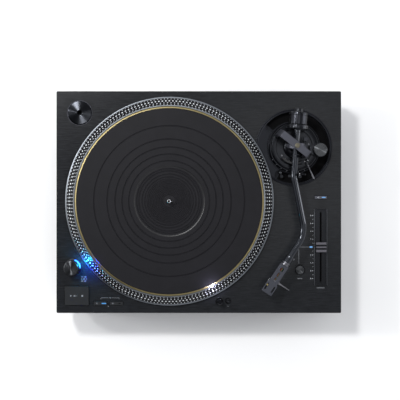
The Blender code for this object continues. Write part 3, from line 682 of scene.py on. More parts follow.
# ---------------------------------------------------------------- platter
def make_platter():
    place = basis(at_height(SPINDLE, 0))
    rim = [(100, 112), (157.5, 112), (160.5, 108), (164.9, 108), (165.5, 108.5), (165.5, 109.1),
           (165.1, 109.6), (163.6, 109.9), (163.2, 110.2), (151.4, 122.0), (151.1, 122.3), (149.9, 122.3),
           (149.5, 121.9), (149.5, 116.5), (100, 116.5)]
    fit(lathe("platter_body", rim, place, 256), "silver", "platter", "platter")
    web = [(7.4, 109.6), (16, 109.6), (20, 112), (101, 112), (101, 116.4), (7.4, 116.4)]
    fit(lathe("platter_web", web, place, 128), "silver", "platter")
    band = [(163.2, 110.25), (163.35, 110.4), (151.6, 122.15), (151.35, 122.2), (151.3, 122.05),
            (163.1, 110.2)]
    fit(lathe("strobe_band", band, place, 256), "band", "platter")

    # four rows of raised dots, whose counts differ so that each row seems to stand still at its own pitch
    slope = Vector((1, 1)).normalized()
    bm = bmesh.new()
    for radius, count, size in ((161.9, 190, 0.85), (158.4, 180, 1.5), (155.0, 174, 1.0),
                                (152.3, 170, 0.75)):
        height = DOT_CONE - radius
        for k in range(count):
            a = 2 * math.pi * k / count
            out = Vector((math.cos(a), math.sin(a), 0))
            normal = Vector((out.x * slope.x, out.y * slope.x, slope.y))
            at = Matrix.Translation(out * radius + UP * height)
            turn = normal.to_track_quat("Z", "Y").to_matrix().to_4x4()
            squash = Matrix.Diagonal((size, size, 0.42, 1))
            bmesh.ops.create_icosphere(bm, subdivisions=1, radius=1, matrix=at @ turn @ squash)
    dots = as_object("strobe_dots", bm, place, 80)
    fit(dots, "dots", "platter")

    brass = [(12, 116.8), (149.1, 116.8), (149.2, 117), (149.2, 120.4), (149.0, 120.65), (147.2, 121.2),
             (146.8, 121.25), (146.5, 121.0), (146.5, 119.3), (12, 119.3)]
    fit(lathe("brass_plate", brass, place, 256), "brass", "platter", "platter_brass_plate")
    make_mat(place)

    pin = [(0, 104), (3.6, 104), (3.6, 134.6), (3.3, 135.1), (2.1, 136.5), (1.8, 136.6), (1.7, 136.3),
           (1.5, 134.8), (0, 134.5)]
    fit(lathe("spindle_pin", pin, place, 64), "steel", "platter", "spindle")
    # a near-black disc in the hollow top of the pin: painted shade
    centre = [(0, 134.4), (1.5, 134.4), (1.55, 134.9), (0, 134.9)]
    fit(lathe("spindle_centre", centre, place, 32), "dark", "platter")
    shaft = [(0, 56), (4, 56), (4, 105), (11, 105), (11, 109.2), (7, 109.2), (7, 116.2), (3.7, 116.4),
             (0, 116.4)]
    fit(lathe("spindle_shaft", shaft, place, 48), "steel", "platter")


def make_mat(place):
    """Main grooves spread outwards, with fine ones packed round the hole and a shallow label recess."""
    top, bottom = highest("platter_mat").z, lowest("platter_mat").z
    recess_radius, recess = 55.3, 0.55
    wide = [118.5, 97.6, 85.0, 74.0, 63.4]
    narrow = [50.8, 47.3, 42.3, 38.0] + [34.6 - 2.45 * k for k in range(11)]
    profile = [(3.95, bottom), (145.5, bottom), (146.2, bottom + 0.6), (146.2, top - 0.5), (145.7, top)]
    for radius in wide:
        profile += groove(radius, 1.0, 0.9, top)
    profile += [(recess_radius + 0.9, top), (recess_radius + 0.8, top - recess)]
    for radius in narrow:
        profile += groove(radius, 1.1 if radius > 36 else 0.85, 0.8 if radius > 36 else 0.65, top - recess)
    profile += [(4.6, top - recess), (3.95, top - recess - 0.5)]
    fit(lathe("mat", profile, place, 192), "mat", "platter", "platter_mat")
    slope = [(recess_radius + 0.85 - 2.4 * (1 - t / 8), top - recess + (recess + 0.02) * (t / 8) ** 2)
             for t in range(9)]
    step = [(recess_radius - 1.55, top - recess - 0.1), *slope, (recess_radius + 0.85, top - recess - 0.1)]
    fit(lathe("mat_step", step, place, 256), "step", "platter")


def groove(radius, half_width, depth, top):
    return [(radius + half_width, top), (radius + half_width * 0.4, top - depth),
            (radius - half_width * 0.4, top - depth), (radius - half_width, top)]


# ---------------------------------------------------------------- controls
def make_adapter():
    profile = [(3.8, 0), (18.2, 0), (18.7, 0.7), (18.7, 7.2), (18.3, 8.3), (17.7, 8.6), (4.2, 9.2),
               (3.8, 9.0)]
    cone = lathe("adapter_cone", profile, standing("ep_adapter", lowest("ep_adapter").z), 128)
    fit(cone, "spun", "ep_adapter", "ep_adapter")


def make_power_tower():
    low = lowest("strobe_housing").z
    at = middle("power_knob")
    facing = math.degrees(math.atan2(SPINDLE.y - at.y, SPINDLE.x - at.x))
    place = turned((at.x, at.y, 0), facing)
    body = [(0, low), (8.6, low), (8.6, 104.4), (13.2, 104.4), (13.4, 104.7), (13.2, 105.3), (12.4, 105.5),
            (12.2, 106), (12.2, 120.6), (11.8, 121), (0, 121)]
    tower = lathe("tower", body, place)
    half_span = 40
    slot_outline = arc(20, -half_span, half_span, 16) + arc(9.6, half_span, -half_span, 16)
    tool = prism("window_tool", slot_outline, 105.7, 117.3, place)
    cut(tower, tool)
    fit(tower, "plastic", "plinth", "strobe_housing")
    pane = arc(12.2, 2 - half_span, half_span - 2, 24) + arc(9.9, half_span - 2, 2 - half_span, 24)
    window = prism("window_pane", pane, 106, 117, place, 0.3)
    fit(window, "window", "plinth", "strobe_window")

    knob = [(0, 0), (11.2, 0), (11.4, 0.3), (11.4, 8.1), (11.1, 8.6), (10.3, 8.8), (10.1, 9.0),
            (9.85, 9.6), (9.6, 9.7), (0, 9.7)]
    place = standing("power_knob", lowest("power_knob").z)
    fit(lathe("power_knob_cap", knob, place), "spun_light", "power_knob", "power_knob")
    grip = [(11.42, 1.2), (11.55, 1.5), (11.55, 7.2), (11.42, 7.5), (11.2, 7.5), (11.2, 1.2)]
    fit(lathe("power_knob_grip", grip, place), "plastic", "power_knob")
    tick = [(-0.25, 0.25, 8.0, 10.6, 8.85, 8.95)]
    mark = blocks("power_knob_mark", tick, place @ Matrix.Rotation(math.radians(25), 4, "Z"))
    fit(mark, "dim_white", "power_knob")


def make_buttons():
    for node in ("start_stop_button", "speed_button_33", "speed_button_45", "pitch_range_button"):
        low, high = lowest(node), highest(node)
        size = high - low
        cap = prism(f"{node}_cap", rounded(size.x, size.y, 0.7), low.z, high.z, standing(node), 0.45)
        fit(cap, "range" if node == "pitch_range_button" else "button", node, node)
    for node, x, width, depth, corner, rise, edge, look in (
            ("speed_button_33", 5.9, 7.4, 1.8, 1.8 / 2.1, 0.12, 0.1, "led"),
            ("pitch_range_button", 4.6, 6.2, 1.5, 1.5 / 2.1, 0.12, 0.1, "led"),
            ("speed_button_45", 5.2, 3.4, 1.6, 0.7, 0.06, 0.05, "dark")):
        at, top = middle(node), highest(node).z
        lens = prism(f"{node}_led", rounded(width, depth, corner), top - 0.4, top + rise,
                     basis((at.x + x, at.y, 0)), edge)
        fit(lens, look, node)

    cap = [(0, 0), (6.7, 0), (6.9, 0.3), (6.9, 8.6), (6.6, 9.1), (6.2, 9.25), (0, 9.3)]
    place = standing("reset_button", lowest("reset_button").z)
    fit(lathe("reset_cap", cap, place, 64), "spun_silver", "reset_button", "reset_button")
    make_collar("reset_collar", "reset_button", 7.3, 8.6, DECK + 0.7)

    cap = [(0, 0), (3.4, 0), (3.6, 0.3), (3.6, 7.2), (3.1, 7.9), (2.4, 8.0), (1.8, 7.5), (0, 7.3)]
    place = standing("lamp_button", lowest("lamp_button").z)
    fit(lathe("lamp_button_cap", cap, place, 48), "plastic", "lamp_button", "lamp_button")
    make_collar("lamp_button_collar", "lamp_button", 3.95, 4.9, DECK + 0.35)


def make_collar(name, node, inner, outer, high):
    low = DECK - 1
    bevel = min(0.3, (outer - inner) / 3)
    profile = [(inner, low), (outer, low), (outer, high - bevel), (outer - bevel, high),
               (inner + bevel, high), (inner, high - bevel)]
    fit(lathe(name, profile, standing(node)), "plastic", "plinth")


def make_lamp():
    at, low, high = middle("target_lamp"), lowest("target_lamp").z, highest("target_lamp").z
    toward = at_height(SPINDLE - at, 0).normalized()
    sleeve = [(4.5, 78), (6.0, 78), (6.0, 104.3), (6.7, 104.3), (6.9, 104.5), (6.9, 104.8), (6.6, 105),
              (4.9, 105), (4.5, 104.6)]
    fit(lathe("lamp_guide", sleeve, standing("target_lamp"), 64), "plastic", "plinth", "lamp_sleeve")
    place = basis((at.x, at.y, 0), UP, toward)
    body = lathe("lamp_tube", [(0, low), (4.1, low), (4.1, high - 1.4), (3.9, high - 0.7), (3.2, high),
                               (0, high)], place, 64)
    cut(body, blocks("lamp_window_tool", [(1.6, 6, -2.6, 2.6, high - 8.5, high - 2.6)], place))
    fit(body, "weight", "target_lamp", "target_lamp")
    lens = prism("lamp_lens", rounded(2.4, 4.8, 0.7, (1.9, 0)), high - 8.2, high - 2.9, place, 0.3)
    fit(lens, "lamp", "target_lamp")
    return at_height(at + toward * 22, high + 9), at_height(at + toward * 29, high - 5)


def make_pitch_control():
    low, high = lowest("pitch_plate").z, highest("pitch_plate").z
    place = standing("pitch_plate")
    outer = rounded(19.6, 121.4, 1.0)
    frame_ring = plate("pitch_frame", [outer, rounded(16.6, 118.4, 0.7)], low, high, 0.3, place)
    fit(frame_ring, "plastic", "plinth", "pitch_plate")
    bed = plate("pitch_bed", [rounded(17.2, 119, 0.7), rounded(2.8, 111, 1.38)], low, low + 0.9, 0.15,
                place)
    fit(bed, "plastic", "plinth")
    # a near-black sheet below the pitch slit: painted shade in the slot
    slot_floor = blocks("pitch_slot_floor", [(-2.4, 2.4, -57, 57, low - 2.5, low - 2.2)], place)
    fit(slot_floor, "dark", "plinth")
    rails = [(side * 9.95 - 0.16, side * 9.95 + 0.16, -60.4, 60.4, DECK - 0.2,
              high - 0.35) for side in (-1, 1)]
    fit(blocks("pitch_rails", rails, place, 0.1), "silver", "plinth")

    place = standing("pitch_knob")
    base, top = 106.7, highest("pitch_knob").z
    outline = [(-8.3, base), (8.3, base), (8.3, base + 2.2), (7.4, top - 1.3), (4.6, top - 1.3),
               (3.8, top - 2.4), (1.9, top - 2.4), (1.5, top - 1.3), (-1.5, top - 1.3), (-1.9, top - 2.4),
               (-3.8, top - 2.4), (-4.6, top - 1.3), (-7.4, top - 1.3), (-8.3, base + 2.2)]
    upright = place @ basis((0, 0, 0), (1, 0, 0), (0, 1, 0))
    fit(prism("pitch_knob_cap", outline, -9, 9, upright, 0.35), "plastic", "pitch_knob", "pitch_knob")
    ridges = [(-8.1, 8.1, y - w, y + w, top - 1.5, top) for y, w in ((-5.9, 1.9), (0, 1.3), (5.9, 1.9))]
    fit(blocks("pitch_knob_ridges", ridges, place, 0.4), "ridge", "pitch_knob")
    fit(blocks("pitch_knob_stem", [(-1, 1, -3, 3, 97, base + 0.5)], place), "plastic", "pitch_knob")


def make_pitch_scale():
    at = middle("pitch_plate")
    x, spacing, print_z = at.x - 12.6, 12.57, DECK + PRINT_RISE
    marks = []
    for step in range(-4, 5):
        if step:
            marks.append((x - 1.0, x + 1.0, at.y + step * spacing - 0.3, at.y + step * spacing + 0.3))
            number = label(f"pitch_number_{step + 4}", str(abs(2 * step)), 1.9,
                           basis((x - 3.2, at.y + step * spacing, print_z)))
            fit(number, "white", "plinth")
    for half in range(-8, 9):
        if half % 2:
            y = at.y + half * spacing / 2
            marks.append((x - 0.1, x + 1.0, y - 0.2, y + 0.2))
    printed("pitch_scale", marks, print_z, "white")

    reset = middle("reset_button")
    line_top = at.y + 0.25
    left = reset.x - 1.9
    printed("reset_line", [(left, reset.x - 1.45, reset.y + 10, line_top),
                           (left, x - 5.4, line_top - 0.45, line_top)], print_z)
    led = prism("pitch_zero_led", rounded(5.0, 2.5, 1.1, (x - 2.6, at.y)), DECK - 0.5, DECK + 0.3,
                edge=0.15)
    fit(led, "led", "plinth")


def make_markings():
    """Small printed signs in place of words: bars, a play and stop sign, and the speeds."""
    z = DECK + PRINT_RISE
    reset, plate_at = middle("reset_button"), middle("pitch_plate")
    signs = [("reset_sign", reset.x, reset.y - 13.6, 8.4),
             ("pitch_sign", plate_at.x, plate_at.y - 64.9, 13.0)]
    for name, x, y, width in signs:
        pitch = 1.25
        count = int(width / pitch)
        start = x - (count - 1) * pitch / 2
        printed(name, [(start + k * pitch - 0.36, start + k * pitch + 0.36, y - 0.7, y + 0.7)
                       for k in range(count)], z)

    top = highest("start_stop_button").z + PRINT_RISE
    place = standing("start_stop_button")
    play = prism("play_sign", [(-10.4, -1.5), (-7.4, 0), (-10.4, 1.5)], top, top + 0.04, place)
    fit(play, "dim_white", "start_stop_button")
    others = [(-4.6, -3.8, -1.4, 1.4), (-3.0, -2.2, -1.4, 1.4), (-0.7, 0.9, -0.25, 0.25),
              (7.6, 10.2, -1.3, 1.3)]
    printed("stop_sign", others, top, body="start_stop_button", place=place, thickness=0.04)

    for name, node, words, size, x, look in (
            ("speed_button_33_number", "speed_button_33", "33", 2.0, 5.6, "dim_white"),
            ("speed_button_45_number", "speed_button_45", "45", 2.0, 5.6, "dim_white"),
            ("range_number", "pitch_range_button", "x2", 2.1, 4.2, "white")):
        at, top = middle(node), highest(node).z + PRINT_RISE
        fit(label(name, words, size, basis((at.x - x, at.y, top))), look, node)

    left, right = middle("speed_button_33"), middle("speed_button_45")
    x0, x1, y = left.x + 0.8, right.x + 4.4, left.y + 8.6
    gap = ((x0 + x1) / 2 - 2.2, (x0 + x1) / 2 + 2.2)
    bracket = [(x0, gap[0], y, y + 0.35), (gap[1], x1, y, y + 0.35), (x0, x0 + 0.35, y - 2, y),
               (x1 - 0.35, x1, y - 2, y)]
    printed("speed_bracket", bracket, z)
    fit(label("speed_bracket_number", "78", 1.7, basis(((x0 + x1) / 2, y + 0.1, z))), "dim_white",
        "plinth")
    raised = z + PRINT_THICKNESS
    dot = lathe("speed_gap_dot", [(0, z), (0.7, z), (0.7, raised), (0, raised)],
                basis(((left.x + right.x) / 2, left.y - 4.6, 0)), 24)
    fit(dot, "dim_white", "plinth")

    tower = middle("power_knob")
    rows = []
    for row, widths in enumerate(((3.2, 3.2), (1.2, 3.4, 1.2), (3.0, 3.0))):
        x = tower.x + 13.2
        for width in widths:
            y = tower.y - 15.6 - 3.3 * row
            rows.append((x, x + width, y - 0.7, y + 0.7))
            x += width + 1.6
    printed("strobe_key", rows, z)
    lamp = middle("lamp_button")
    printed("lamp_sign", [(lamp.x - 1.5, lamp.x + 1.5, lamp.y - 8.4, lamp.y - 8.0)], z)


# ---------------------------------------------------------------- tonearm base
def make_flange():
    place = PIVOT_PLACE
    profile = [(20, 90), (59, 90), (59, 104.3), (61, 104.3), (61, 105.6), (60.6, 106.1), (59.9, 106.3),
               (59.3, 105.6), (58.4, 105.5), (58.0, 106.2), (57.4, 106.45), (42.8, 106.45), (42.4, 106.2),
               (42.3, 105.5), (20, 105.5)]
    flange = lathe("flange", profile, place, 160)
    start, end, inner, outer = -118.0, 139.0, 42.0, 57.0
    mid, half = (inner + outer) / 2, (outer - inner) / 2
    trough = arc(outer, start, end, 72) + arc(half, end, end + 180, 16, polar(mid, end))[1:-1] \
        + arc(inner, end, start, 72) + arc(half, start + 180, start + 360, 16, polar(mid, start))[1:-1]
    cut(flange, prism("trough_tool", trough, 96, 110, place))
    soften(flange, 0.5, 3, 40)
    fit(flange, "flange", "plinth", "arm_base_flange")
    # a near-black sheet on the trough's floor: painted shade in the deep groove
    floor = arc(outer - 0.4, start, end, 72) + arc(inner + 0.4, end, start, 72)
    fit(prism("trough_floor", floor, 96.02, 96.3, place), "dark", "plinth")


def make_height_ring():
    place = PIVOT_PLACE
    profile = [(36.9, 105.8), (40.8, 105.8), (41, 106), (41, 109.8), (40.7, 110.3), (40.2, 110.5),
               (38.7, 113.4), (38.2, 113.9), (37.2, 113.9), (36.9, 113.6)]
    ring = lathe("height_dial", profile, place, 128)
    fit(ring, "arm_plastic", "height_ring", "height_ring")
    joined = bmesh.new()
    for k in range(7):
        tick = tick_on_ring(k, -150 + 14 * k)
        joined.from_mesh(tick.data)
        bpy.data.objects.remove(tick)
    bmesh.ops.scale(joined, vec=(1 / MM, 1 / MM, 1 / MM), verts=joined.verts)
    fit(as_object("height_marks", joined, place), "dim_white", "height_ring")
    knurl = ribs_around("height_knurl", 60, 41.0, 107.9, (0.5, 1.3, 3.0), place)
    fit(knurl, "arm_plastic", "height_ring")


def tick_on_ring(index, angle):
    """A short printed bar on the ring's sloping face."""
    low, high = (40.15, 110.75), (38.75, 113.35)
    bar = [(low[0] + 0.08, low[1] + 0.05), (high[0] + 0.08, high[1] + 0.05), (high[0], high[1]),
           (low[0], low[1])]
    turn = Matrix.Rotation(math.radians(angle), 4, "Z")
    upright = Matrix(((1, 0, 0, 0), (0, 0, -1, 0), (0, 1, 0, 0), (0, 0, 0, 1)))
    tick = prism(f"tick_{index}", bar, -0.3, 0.3)
    tick.data.transform(turn @ upright)
    return tick


def make_pedestal():
    place = PIVOT_PLACE
    profile = [(0, 70), (19.6, 70), (19.6, 105.9), (36.2, 105.9), (36.5, 106.2), (36.5, 114.2),
               (36.1, 114.9), (35.4, 115.4), (32.4, 115.5), (32, 115.1), (32, 114.5), (29.1, 114.5),
               (28.7, 114.1), (28.7, 111.9), (28.3, 111.5), (17.4, 111.5), (17, 111.9), (16.7, 118.6),
               (16.0, 119.6), (14.2, 120.4), (12, 120.9), (9.4, 121.1), (9.0, 121.6), (8.8, 122.6),
               (6.4, 123.2), (5.4, 124), (5, 130.2), (0, 130.2)]
    fit(lathe("pedestal", profile, place, 128), "arm_plastic", "arm_base", "arm_pedestal")

    # small fittings on the pedestal: mounting screws and the lobed cap beside the bearing
    for i, angle in enumerate((-146, -128, -111, 12)):
        x, y = polar(23.5, angle)
        screw(f"pedestal_screw_{i}", (PIVOT.x + x, PIVOT.y + y, 111.5), 1.7, "arm_base", "dull_steel")
    cap_at = Vector((PIVOT.x + 17.6, PIVOT.y + 12.4, 115.6))
    lobes = [polar(4.2 + 0.8 * math.cos(math.radians(5 * a)), a) for a in range(0, 360, 6)]
    fit(prism("lobed_cap", lobes, 0, 5.2, basis(cap_at), 0.6), "weight", "arm_base")
    fit(lathe("lobed_cap_seat", [(0, -0.1), (6.2, -0.1), (6.2, 0.4), (0, 0.4)], basis(cap_at), 48),
        "arm_plastic", "arm_base")


def screw(name, at, radius, body, look):
    """A pan head with a cross recess."""
    place = basis(at)
    head = lathe(name, [(0, 0), (radius, 0), (radius, 0.45), (radius * 0.75, 0.85), (0, 1.0)], place, 32)
    long, wide = 0.65 * radius, 0.16 * radius
    cut(head, blocks(f"{name}_tool_a", [(-long, long, -wide, wide, 0.45, 2)], place),
        blocks(f"{name}_tool_b", [(-wide, wide, -long, long, 0.45, 2)], place))
    fit(head, look, body)


def make_bridge():
    """Bearing bridge over the gimbal, bent down at both ends."""
    axis = Vector((math.cos(BRIDGE_TURN), math.sin(BRIDGE_TURN), 0))
    across = Vector((-axis.y, axis.x, 0))
    place = basis(at_height(PIVOT, 0), axis.cross(UP), axis)
    outline = [(-35.7, 115.8), (-30.7, 115.8), (-30.7, 149), (-26.5, 158), (17.6, 158), (17.6, 111.8),
               (22.6, 111.8), (22.6, 161.4), (22.0, 162), (-28.8, 162), (-35.7, 150)]
    flip = -1 if (place.to_3x3() @ Vector((0, 1, 0))).z < 0 else 1
    outline = [(x, flip * z) for x, z in outline]
    bridge = prism("bridge", outline, -5.45, 5.45, place)
    cut(bridge, lathe("bridge_tool", [(0, 150), (2.6, 150), (2.6, 170), (0, 170)], PIVOT_PLACE, 32))
    soften(bridge, 0.8, 3)
    fit(bridge, "bridge", "arm_base", "gimbal_bridge")

    head = [(0, 157.8), (1.2, 158), (2.3, 159.2), (2.3, 162.3), (3.7, 162.3), (3.9, 162.6), (3.9, 163.3),
            (3.5, 163.8), (1.9, 164), (1.7, 163.4), (0, 163.3)]
    at = at_height(PIVOT, 0)
    brass = lathe("bridge_screw", head, PIVOT_PLACE, 48)
    cut(brass, blocks("bridge_screw_tool", [(-3, 3, -0.4, 0.4, 163.35, 165)], turned(at, -52)))
    fit(brass, "pivot_screw", "arm_base", "top_pivot_screw")
    for i, side in enumerate((-2.6, 2.6)):
        spot = at_height(at + axis * 20.1 + across * side, 161.9)
        screw(f"bridge_foot_screw_1{i}", spot, 1.0, "arm_base", "bridge")


def make_antiskate():
    low, high = lowest("antiskate_housing").z, highest("antiskate_housing").z
    outline = arc(11, -100, 100, 40) + [(-16, 7.5), (-16, -5)]
    block = prism("antiskate_block", outline, low, high, standing("antiskate_dial"), 0.6)
    fit(block, "arm_plastic", "arm_base", "antiskate_housing")
    cap = [(0, 0), (10.4, 0), (10.6, 0.3), (10.6, 7.5), (10.3, 8.2), (9.8, 8.5), (9.5, 8.7), (0, 8.7)]
    place = standing("antiskate_dial", lowest("antiskate_dial").z)
    fit(lathe("antiskate_cap", cap, place), "spun_silver", "antiskate_dial", "antiskate_dial")
    knurl = ribs_around("antiskate_knurl", 48, 10.6, 3.9, (0.4, 0.7, 6.0), place)
    fit(knurl, "spun", "antiskate_dial")


def make_lock_lever():
    at = joint_at("lock_turn")
    place = turned((at.x, at.y, 0), 110)
    hub = lathe("lock_hub", [(0, 96.3), (2.7, 96.3), (2.8, 96.5), (2.8, 102.7), (2.5, 103), (0, 103)],
                place, 48)
    fit(hub, "plastic", "height_lock_lever", "height_lock_lever")
    tab = [(0, -1.5), (6.5, -1.3), (7.3, -0.6), (7.3, 0.6), (6.5, 1.3), (0, 1.5)]
    fit(prism("lock_tab", tab, 100, 102.8, place, 0.3), "plastic", "height_lock_lever")
    knob = [(0, 101), (2.0, 101), (2.1, 101.3), (2.1, 107.6), (1.6, 108.4), (0, 108.5)]
    x, y = polar(6.5, 110)
    fit(lathe("lock_knob", knob, basis((at.x + x, at.y + y, 0)), 48), "spun_light", "height_lock_lever")


def make_cueing():
    hub = joint_at("cue_turn")
    out = -joint_axis("cue_turn")
    post = hub - out * 6.3
    place = basis(at_height(post, 0), UP, out)
    barrel = [(0, 111.8), (1.7, 111.8), (1.7, 114.8), (3.4, 114.8), (3.6, 115.0), (3.6, 127.6),
              (3.2, 128.2), (3.2, 129.1), (2.8, 129.5), (1.7, 129.5), (1.7, 126), (0, 126)]
    fit(lathe("cue_barrel", barrel, place, 64), "arm_plastic", "arm_base", "cue_cylinder")
    shaft = lathe("cue_shaft", [(0, 2.8), (1, 2.8), (1, 9.3), (0.8, 9.6), (0, 9.6)],
                  basis(hub - out * 6.3, out), 24)
    fit(shaft, "steel", "arm_base")

    low, high = 131.0, 132.6
    bar = arc(28.0, -140, -60, 48) + arc(24.4, -60, -140, 48)
    fit(prism("cue_bar", bar, low, high, PIVOT_PLACE, 0.35), "flange", "cue_lifter", "cue_lifter")
    pad = arc(27.4, -138, -72, 48) + arc(25.0, -72, -138, 48)
    fit(prism("cue_bar_pad", pad, high - 0.05, high + 0.25, PIVOT_PLACE), "base", "cue_lifter")
    rod = lathe("cue_rod", [(0, 119), (1.35, 119), (1.35, 131.4), (0, 131.4)], place, 24)
    fit(rod, "steel", "cue_lifter")

    lever_place = basis(hub, UP, out)
    ring = lathe("cue_lever_hub", [(1.3, -2.1), (2.4, -2.1), (2.5, -2.0), (2.5, 2.0), (2.4, 2.1),
                                   (1.3, 2.1)], basis(hub, out), 48)
    fit(ring, "weight", "cue_lever", "cue_lever")
    path = [(0, -1.9, 0.8), (0, -9, 4.3), (0, -16, 8.0), (0, -23, 11.5), (0, -29.6, 14.5), (0, -30.5, 14.9)]
    stem = tube("cue_lever_stem", path, [0.75, 0.8, 0.95, 1.35, 1.7, 1.2], lever_place, 20)
    fit(stem, "dull_steel", "cue_lever")


def make_arm_rest():
    hinge = joint_at("clamp_turn")
    across = REAR.cross(UP).normalized()
    place = basis(at_height(PIVOT, 0), UP, across)
    bar = (-48.6, -44.8)
    foot, *rest = [(-4, 4, -49, -32, 115.8, 118.8), (-3.5, 3.5, -48.8, -44.6, 118, 137),
                   (-8.5, 11, *bar, 136, 138.7), (6.2, 11, *bar, 137, 148.6)]
    obj = cut(blocks("rest_cradle", [foot], place),
              *[blocks(f"rest_part_{i}", [part], place) for i, part in enumerate(rest)], operation="UNION")
    soften(obj, 0.6, 3)
    fit(obj, "arm_plastic", "arm_base", "arm_rest")
    pad = blocks("rest_pad", [(-5.2, 5.2, -48.2, -45.2, 138.66, 138.85)], place, 0.08)
    fit(pad, "base", "arm_base")

    pin = lathe("clamp_pin", [(0, -45.5), (1, -45.5), (1, -41.9), (0, -41.9)],
                basis(at_height(PIVOT, 0) + across * 8.4 + UP * hinge.z, REAR), 24)
    fit(pin, "steel", "arm_base")
    base = place @ Matrix.Translation(Vector((8.4, 0, hinge.z)) * MM) @ Matrix.Rotation(CLAMP_OPEN, 4, "Y")
    upright = base @ Matrix.Rotation(math.radians(90), 4, "X")
    outline = [(1.6, 0), (1.6, 4.2), (0.6, 5.2), (-15.0, 5.2), (-16, 4.2), (-16, -0.4), (-15.2, -1),
               (-14.4, -0.4), (-14.4, 2.8), (-13.8, 3.4), (-2.2, 3.4), (-1.6, 2.8), (-1.6, 0)]
    hook = prism("clamp_hook", outline, 42.2, 44.4, upright, 0.35)
    fit(hook, "arm_plastic", "arm_clamp", "arm_clamp")
    hub = lathe("clamp_hub", [(1.3, 42.2), (2.4, 42.2), (2.4, 44.4), (1.3, 44.4)], upright, 32)
    fit(hub, "arm_plastic", "arm_clamp")


# ---------------------------------------------------------------- tonearm
def bend_path():
    """The S-shaped centre line at the arm's height, from behind the pivot to the headshell's lock."""
    forward = Vector((-REAR.x, -REAR.y))
    shell = Vector((-SHELL_BACK.x, -SHELL_BACK.y))
    middle_run = Vector((-math.sin(MIDDLE_RUN_LEAN), -math.cos(MIDDLE_RUN_LEAN)))
    pivot, stylus = Vector(PIVOT[:2]), Vector(STYLUS[:2])
    first = pivot + forward * 48
    cross = middle_run.x * shell.y - middle_run.y * shell.x
    gap = stylus - first
    second = first + middle_run * ((gap.x * shell.y - gap.y * shell.x) / cross)
    corners = [pivot + forward * -50, first, second, stylus - shell * 58]
    points = [corners[0]]
    for before, corner, after, radius in zip(corners, corners[1:], corners[2:], (38, 45)):
        back, ahead = (before - corner).normalized(), (after - corner).normalized()
        half = back.angle(ahead) / 2
        reach = radius / math.tan(half)
        centre = corner + (back + ahead).normalized() * (radius / math.sin(half))
        start, end = corner + back * reach - centre, corner + ahead * reach - centre
        span = start.angle_signed(end)
        steps = 20
        points += [centre + Matrix.Rotation(-span * i / steps, 2) @ start for i in range(steps + 1)]
    points.append(corners[-1])
    return [(p.x, p.y, ARM_Z) for p in points]


def make_tube():
    fit(tube("s_tube", bend_path(), 5.0), "tube", "tonearm", "arm_tube")
    boss = [(4.9, -5), (6.4, -5), (6.8, -4.6), (6.8, 4.6), (6.4, 5), (4.9, 5)]
    fit(lathe("tube_boss", boss, TUBE_PLACE, 64), "bridge", "tonearm")
    for i, along in enumerate((-13, 8, 21)):
        ring = [(4.9, along - 0.4), (5.15, along - 0.4), (5.3, along), (5.15, along + 0.4),
                (4.9, along + 0.4)]
        fit(lathe(f"tube_ring_{i}", ring, TUBE_PLACE, 64), "tube", "tonearm")


def make_gimbal():
    profile = [(10.8, -4.2), (11.1, -4.5), (13.2, -4.5), (13.5, -4.2), (13.5, 4.2), (13.2, 4.5),
               (11.1, 4.5), (10.8, 4.2)]
    fit(lathe("gimbal_hoop", profile, TUBE_PLACE), "bridge", "gimbal", "gimbal_ring")
    across = REAR.cross(UP).normalized()
    for side, name in ((-1, "left"), (1, "right")):
        place = basis(PIVOT, across * side)
        cap = [(0, 7.3), (1.5, 7.3), (1.6, 12.6), (3.0, 12.6), (3.0, 14.1), (2.5, 14.6), (1.3, 14.6),
               (1.1, 14.1), (0, 14.1)]
        fit(lathe(f"gimbal_cap_{name}", cap, place, 40), "bridge", "gimbal")


def make_counterweight():
    bush = [(5.3, 33.2), (8, 33.2), (8, 53), (7.2, 53), (6.8, 53.4), (6.8, 57.8), (6.4, 58.5), (6.0, 58.7),
            (0, 58.7), (0, 56.2), (5.3, 56)]
    stub = lathe("weight_bush", bush, TUBE_PLACE, 64)
    cut(stub, blocks("stub_tool", [(-10, 10, -1.2, 1.2, 57.2, 60)], TUBE_PLACE))
    fit(stub, "plastic", "counterweight_bush", "counterweight_bush")
    weight = [(8.3, 33.2), (13.7, 33.2), (14.3, 33.5), (14.5, 34.0), (14.5, 47.0), (14.2, 47.3),
              (14.2, 47.7), (14.5, 48.0), (14.5, 51.4), (14.1, 52.0), (13.5, 52.4), (9.0, 52.4),
              (8.3, 51.8)]
    fit(lathe("weight_body", weight, TUBE_PLACE, 128), "weight", "counterweight", "counterweight")
    dial = [(5.4, 25.9), (5.7, 25.6), (15.4, 25.6), (15.9, 25.8), (16.8, 26.9), (16.8, 31.8), (16.4, 32.5),
            (15.8, 32.8), (5.7, 32.8), (5.4, 32.5)]
    fit(lathe("force_dial", dial, TUBE_PLACE, 128), "arm_plastic", "pressure_dial", "pressure_dial")
    marks = bmesh.new()
    for k in range(40):
        a = 2 * math.pi * k / 40
        length = 2.2 if k % 5 else 3.4
        here = Matrix.Rotation(a, 4, "Z") @ Matrix.Translation((16.81, 0, 31.3 - length / 2))
        bmesh.ops.create_cube(marks, size=1.0, matrix=here @ Matrix.Diagonal((0.06, 0.3, length, 1)))
    fit(as_object("force_dial_marks", marks, TUBE_PLACE), "bridge", "pressure_dial")


